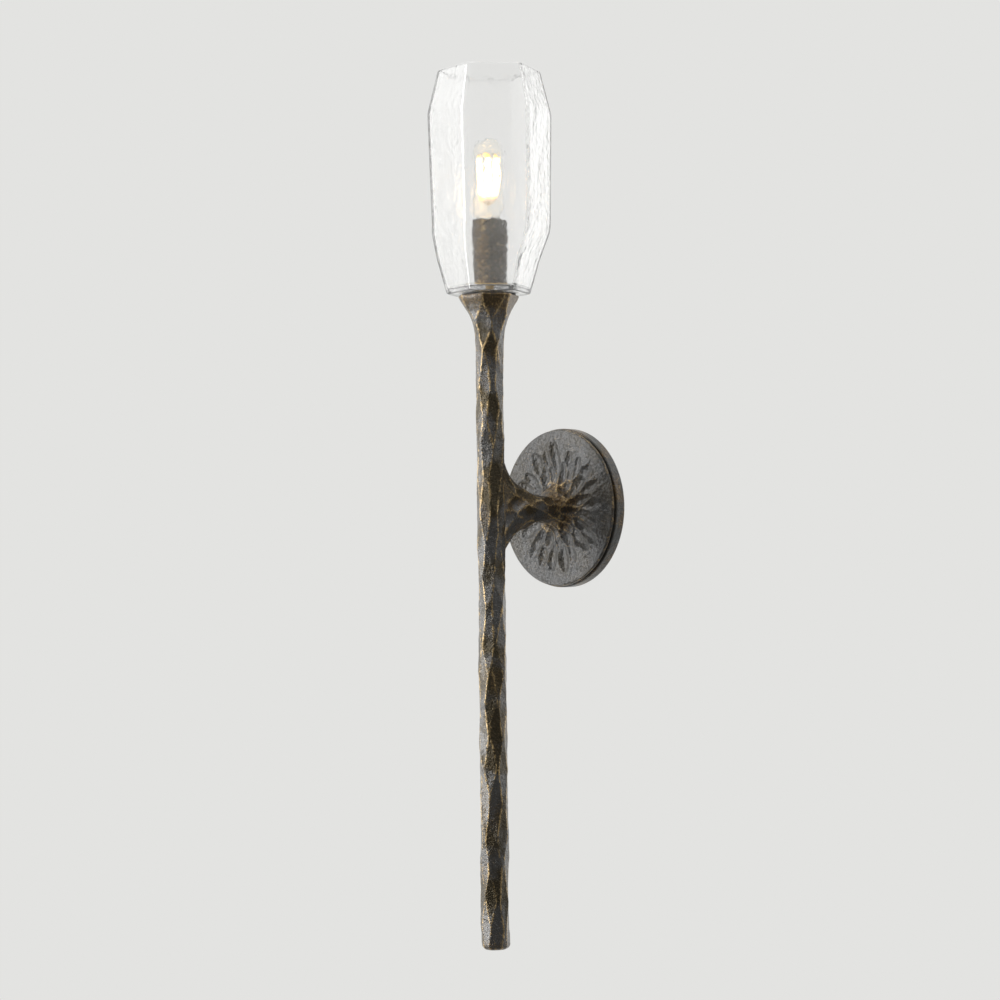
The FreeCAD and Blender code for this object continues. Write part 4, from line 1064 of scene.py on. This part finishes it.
class SCONCE_OT_sleeve(bpy.types.Operator):
    """Cast the candle sleeve that hides the lampholder, rough all over and ragged at its top"""

    bl_idname = "sconce.sleeve"
    bl_label = "Candle sleeve"

    def execute(self, context):
        low = SLEEVE_BOX[0].z
        high = SLEEVE_BOX[1].z
        radius = SLEEVE_BOX[1].x
        wall = 1.5 * MM
        ring_step = 0.5 * MM
        heights = np.arange(low + 0.3 * MM, high - 0.3 * MM, ring_step)
        rows = [(low, radius - 0.3 * MM)]
        rows += [(z, radius) for z in heights]
        rows += [(high, radius - 0.4 * MM), (high, radius - wall + 0.3 * MM)]
        rows += [(z, radius - wall) for z in heights[::-4]]
        rows += [(low, radius - wall + 0.2 * MM)]
        angles = np.linspace(0, 2 * math.pi, 176, endpoint=False)
        places = np.array(rows)
        reach = np.broadcast_to(places[:, 1:], (len(rows), len(angles)))
        points = rings_about_torch(reach, places[:, :1], angles)
        lumps = 0.20 * ripple(points, 4.0 * MM, seed=14) + 0.11 * ripple(points, 2.0 * MM, seed=15)
        outside = (places[:, 1] > radius - 0.5 * MM)[:, None]
        normals = grid_normals(points)
        shift = np.clip(lumps - 0.3, -1.0, 0.0) * MM * outside
        points = points + normals * shift[..., None]
        ragged = 1.6 * MM
        points[..., 2] -= fade(places[:, :1], high - 5 * MM, high) * np.abs(lumps) * ragged
        crest = np.clip(lumps * 1.1, 0, 0.6) * outside
        # painted highlight: a band of rust and gold flecks down the side toward the viewer's left,
        # where the left lamp's warm sheen falls; a thin real dust lies all round
        band = np.exp(-(((angles - math.radians(293)) / 0.42) ** 2))
        dust_and_sheen = (0.12 + 0.68 * band) * outside
        sleeve = grid_piece("candle_tube", points, {"ridge": crest, "dust_and_sheen": dust_and_sheen}, closed_rows=True)
        colours = context.scene.finish_colours
        material = patina(
            "rough_cast_sleeve",
            (colours.sleeve, colours.sleeve_brown),
            grain_mm=1.8,
            grain_depth_mm=1.5,
            fleck_mm=1.9,
            gloss=0.3,
        )
        finish_piece(sleeve, material, "sleeve", "sleeve_bronze", "candle_sleeve")
        return {"FINISHED"}


class SCONCE_OT_bulb(bpy.types.Operator):
    """Finish the bulb: clear glass, lit filaments, nickel wires, brass cap"""

    bl_idname = "sconce.bulb"
    bl_label = "Lit bulb"

    def execute(self, context):
        glass = bulb_glass()
        dress("bulb_envelope", glass)
        dress("bulb_glass_stem", glass)
        dress("bulb_filaments", lit_filament())
        # nickel-plated iron wire, drawn: bright with a warm cast from the light
        dress("bulb_support_wires", plain_metal("nickel_plated_wire", "#B9A88E", 0.3, 0.6))
        # stamped brass of the screw cap, bright
        dress("bulb_screw_cap", plain_metal("stamped_cap_brass", "#D9B978", 0.25, 1.2))
        # black vitrified glass that holds the tip apart from the cap
        dress("bulb_insulator", plain_solid("vitrified_insulator", "#141416", 0.15, 1.0, 0.02))
        # a drop of solder, dull and a little lumpy
        dress("bulb_contact_tip", plain_metal("solder_drop", "#B5B5B2", 0.4, 1.0))
        return {"FINISHED"}


class SCONCE_OT_fittings(bpy.types.Operator):
    """Finish the small parts that hold the sconce together"""

    bl_idname = "sconce.fittings"
    bl_label = "Fittings"

    def execute(self, context):
        # bright zinc plate over pressed steel: pale, slightly blue, with rolling marks
        zinc = plain_metal("zinc_plated_steel", "#B9BDC1", 0.34, 1.4, (1.0, 1.0, 0.15))
        for node in ("mounting_bracket", "arm_lock_washer", "lampholder_strap", "strap_screws"):
            dress(node, zinc)
        # black oxide on alloy steel, oiled
        dress("rim_set_screws", plain_metal("black_oxide_steel", "#2B2B2D", 0.4, 0.8))
        # green chromate over zinc marks the earth screw
        dress("earth_screw", plain_metal("green_chromate_steel", "#3F7A4E", 0.35, 0.9))
        # hot-dipped tin on copper: pale and softly bright
        tinned = plain_metal("tinned_copper", "#C9C7C2", 0.32, 0.7)
        for node in ("bracket_earth_lug", "arm_earth_lug", "tinned_lead_ends"):
            dress(node, tinned)
        # free-cutting brass, turned: fine rings in the gloss
        brass = plain_metal("turned_brass", "#C9A765", 0.28, 0.7, (1.0, 1.0, 4.0))
        for node in (
            "arm_nipple",
            "arm_nut",
            "lamp_nipple",
            "shade_washer",
            "shade_nut",
            "lampholder_screw_shell",
            "centre_contact",
            "contact_rivet",
        ):
            dress(node, brass)
        # black phenolic resin, pressed hot: hard and half gloss
        dress("lampholder_body", plain_solid("phenolic_resin", "#1B1917", 0.38, 0.8, 0.03, 1.6))
        # moulded nylon, half matt
        dress("nipple_bushing", plain_solid("black_nylon", "#1A1A1B", 0.45, 0.7, 0.02, 1.53))
        # cut sheet rubber, matt
        dress("shade_gasket", plain_solid("nitrile_rubber_sheet", "#161616", 0.75, 0.9, 0.05, 1.52))
        # extruded PVC insulation, half matt
        dress("live_lead", plain_solid("black_pvc_insulation", "#17171A", 0.42, 0.8, 0.01, 1.53))
        dress("neutral_lead", plain_solid("white_pvc_insulation", "#DAD8D2", 0.42, 0.8, 0.01, 1.53))
        dress("earth_lead", plain_solid("green_pvc_insulation", "#2F6E3C", 0.42, 0.8, 0.01, 1.53))
        return {"FINISHED"}


def dress(node, material):
    """Give a CAD node its material and soft shading."""
    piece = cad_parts[node]
    piece.data.materials.clear()
    piece.data.materials.append(material)
    piece.data.polygons.foreach_set("use_smooth", [True] * len(piece.data.polygons))
    piece.data.set_sharp_from_angle(angle=math.radians(35))


# ---------------------------------------------------------------------------------------------------
# Stage
# ---------------------------------------------------------------------------------------------------


class SCONCE_OT_stage(bpy.types.Operator):
    """Set the pale floor, the room's soft light and the camera"""

    bl_idname = "sconce.stage"
    bl_label = "Floor, light and camera"

    def execute(self, context):
        sizes = context.scene.stage_sizes
        self.room(sizes)
        self.floor(sizes)
        self.lamps()
        self.camera(sizes)
        return {"FINISHED"}

    def room(self, sizes):
        """A pale backdrop all round for the eye, and dimmer on the viewer's side for the metal."""
        world = bpy.data.worlds.new("soft_room")
        bpy.context.scene.world = world
        world.use_nodes = True
        tree = world.node_tree
        tree.nodes.clear()
        way = add(tree, "TexCoord").outputs["Generated"]
        behind = add(
            tree,
            "VectorMath",
            {0: way, 1: tuple((Vector((0, 0, 0.5)) - TO_VIEWER).normalized())},
            operation="DOT_PRODUCT",
        )
        pale_side = add(
            tree,
            "MapRange",
            {
                "Value": behind.outputs["Value"],
                "From Min": -0.45,
                "From Max": 0.25,
                "To Min": 0.10,
                "To Max": 1.0,
            },
            interpolation_type="SMOOTHSTEP",
        )
        seen = add(tree, "LightPath")
        for_eye = add(
            tree,
            "Math",
            {0: seen.outputs["Is Camera Ray"], 1: seen.outputs["Is Transmission Ray"]},
            operation="MAXIMUM",
        )
        glossy = add(
            tree,
            "Math",
            {0: seen.outputs["Is Glossy Ray"], 1: pale_side.outputs[0]},
            operation="MULTIPLY",
        )
        whole = add(tree, "Math", {0: for_eye.outputs[0], 1: glossy.outputs[0]}, operation="MAXIMUM")
        lit = add(tree, "Math", {0: pale_side.outputs[0], 1: 0.45}, operation="MULTIPLY")
        strength = add(tree, "Math", {0: whole.outputs[0], 1: lit.outputs[0]}, operation="MAXIMUM")
        light = add(
            tree, "Background", {"Color": linear(sizes.backdrop), "Strength": strength.outputs[0]}
        )
        add(tree, "OutputWorld", {"Surface": light.outputs[0]})

    def floor(self, sizes):
        """A wide pale floor. Far from the sconce it fades into the backdrop."""
        across = 12.0
        mesh = bpy.data.meshes.new("pale_floor")
        corners = [(-across, -across), (across, -across), (across, across), (-across, across)]
        mesh.from_pydata([(x, y, -sizes.floor_drop) for x, y in corners], [], [(0, 1, 2, 3)])
        floor = new_object("pale_floor", mesh)
        floor.visible_glossy = False
        material, tree, place = blank_material("matt_painted_floor")
        grain = add(tree, "TexNoise", {"Vector": place, "Scale": per_metre(400.0), "Detail": 2.0})
        tone = add(
            tree,
            "Mix",
            {0: grain.outputs["Fac"], 6: linear("#EFEFED"), 7: linear("#F3F3F1")},
            data_type="RGBA",
        )
        paint = add(tree, "BsdfDiffuse", {"Color": tone.outputs[2]})
        flat = add(tree, "VectorMath", {0: place, 1: (1.0, 1.0, 0.0)}, operation="MULTIPLY")
        away = add(tree, "VectorMath", {0: flat.outputs[0]}, operation="LENGTH")
        hazy = add(
            tree,
            "MapRange",
            {"Value": away.outputs["Value"], "From Min": 0.3, "From Max": 2.6, "To Min": 0.5},
            interpolation_type="SMOOTHSTEP",
        )
        haze = add(tree, "Emission", {"Color": linear(sizes.backdrop), "Strength": 1.0})
        mixed = add(tree, "MixShader", {0: hazy.outputs[0], 1: paint.outputs[0], 2: haze.outputs[0]})
        close_material(tree, mixed.outputs[0])
        floor.data.materials.append(material)

    def lamps(self):
        """Tall soft boxes: a large one on the left, a weaker one on the right, strips behind both."""
        centre = Vector((0.0, TORCH_Y, 0.02))
        # (name, turn from the viewer, height, distance, width, tall, watts)
        boxes = [
            ("left_soft_box", -87.0, 0.25, 1.5, 0.5, 2.0, 30.0),
            ("right_soft_box", 68.0, 1.0, 1.6, 0.6, 0.6, 5.0),
            ("left_back_strip", -112.0, 0.25, 1.6, 0.45, 2.0, 4.0),
            ("right_back_strip", 130.0, 0.25, 1.6, 0.5, 2.0, 4.0),
            ("top_soft_box", -20.0, 1.9, 0.7, 0.9, 0.9, 7.0),
        ]
        for name, turn, height, distance, width, tall, watts in boxes:
            way = Matrix.Rotation(math.radians(turn), 3, "Z") @ TO_VIEWER
            lamp = bpy.data.lights.new(name, "AREA")
            lamp.shape = "RECTANGLE"
            lamp.size = width
            lamp.size_y = tall
            lamp.energy = watts
            box = new_object(name, lamp)
            box.location = centre + way * distance + Vector((0, 0, height))
            box.visible_transmission = False
            box.rotation_euler = (centre - box.location).to_track_quat("-Z", "Y").to_euler()

    def camera(self, sizes):
        """The viewer stands below the plate's centre and looks nearly level."""
        lens = bpy.data.cameras.new("viewer")
        lens.sensor_width = 36.0
        lens.lens = 85.2
        lens.clip_start = 0.05
        lens.shift_y = 0.02
        camera = new_object("viewer", lens)
        bpy.context.scene.camera = camera
        camera.location = (
            Vector((0.0, TORCH_Y, -sizes.viewer_drop)) + TO_VIEWER * sizes.viewer_distance
        )
        aside = math.radians(0.212)
        up = math.radians(1.235)
        tilt = math.radians(0.6)
        level = -TO_VIEWER * math.cos(aside) + VIEW_RIGHT * math.sin(aside)
        ahead = level * math.cos(up) + Vector((0, 0, math.sin(up)))
        right = ahead.cross(Vector((0, 0, 1))).normalized()
        above = right.cross(ahead)
        tilted_right = right * math.cos(tilt) - above * math.sin(tilt)
        tilted_above = above * math.cos(tilt) + right * math.sin(tilt)
        turn = Matrix((tilted_right, tilted_above, -ahead)).transposed()
        camera.rotation_euler = turn.to_euler()
        bpy.context.scene.view_settings.view_transform = "Standard"


class SCONCE_PT_panel(bpy.types.Panel):
    """The sconce's pieces and sizes"""

    bl_idname = "SCONCE_PT_panel"
    bl_label = "Torch sconce"
    bl_space_type = "VIEW_3D"
    bl_region_type = "UI"
    bl_category = "Torch sconce"

    def draw(self, context):
        for group in GROUPS:
            box = self.layout.box()
            settings = getattr(context.scene, group)
            for name in settings.__annotations__:
                box.prop(settings, name)
        for operator in OPERATORS:
            self.layout.operator(operator.bl_idname)


GROUPS = {
    "torch_sizes": TorchSizes,
    "arm_sizes": ArmSizes,
    "plate_sizes": PlateSizes,
    "shade_sizes": ShadeSizes,
    "finish_colours": FinishColours,
    "stage_sizes": StageSizes,
}
OPERATORS = (
    SCONCE_OT_stage,
    SCONCE_OT_torch,
    SCONCE_OT_arm,
    SCONCE_OT_backplate,
    SCONCE_OT_shade,
    SCONCE_OT_sleeve,
    SCONCE_OT_bulb,
    SCONCE_OT_fittings,
)


def register():
    for group, kind in GROUPS.items():
        bpy.utils.register_class(kind)
        setattr(bpy.types.Scene, group, bpy.props.PointerProperty(type=kind))
    for operator in OPERATORS:
        bpy.utils.register_class(operator)
    bpy.utils.register_class(SCONCE_PT_panel)


def unregister():
    bpy.utils.unregister_class(SCONCE_PT_panel)
    for operator in reversed(OPERATORS):
        bpy.utils.unregister_class(operator)
    for group, kind in reversed(GROUPS.items()):
        delattr(bpy.types.Scene, group)
        bpy.utils.unregister_class(kind)


def main():
    register()
    bpy.ops.sconce.stage()
    bpy.ops.sconce.torch()
    bpy.ops.sconce.arm()
    bpy.ops.sconce.backplate()
    bpy.ops.sconce.shade()
    bpy.ops.sconce.sleeve()
    bpy.ops.sconce.bulb()
    bpy.ops.sconce.fittings()


if __name__ == "__main__":
    main()
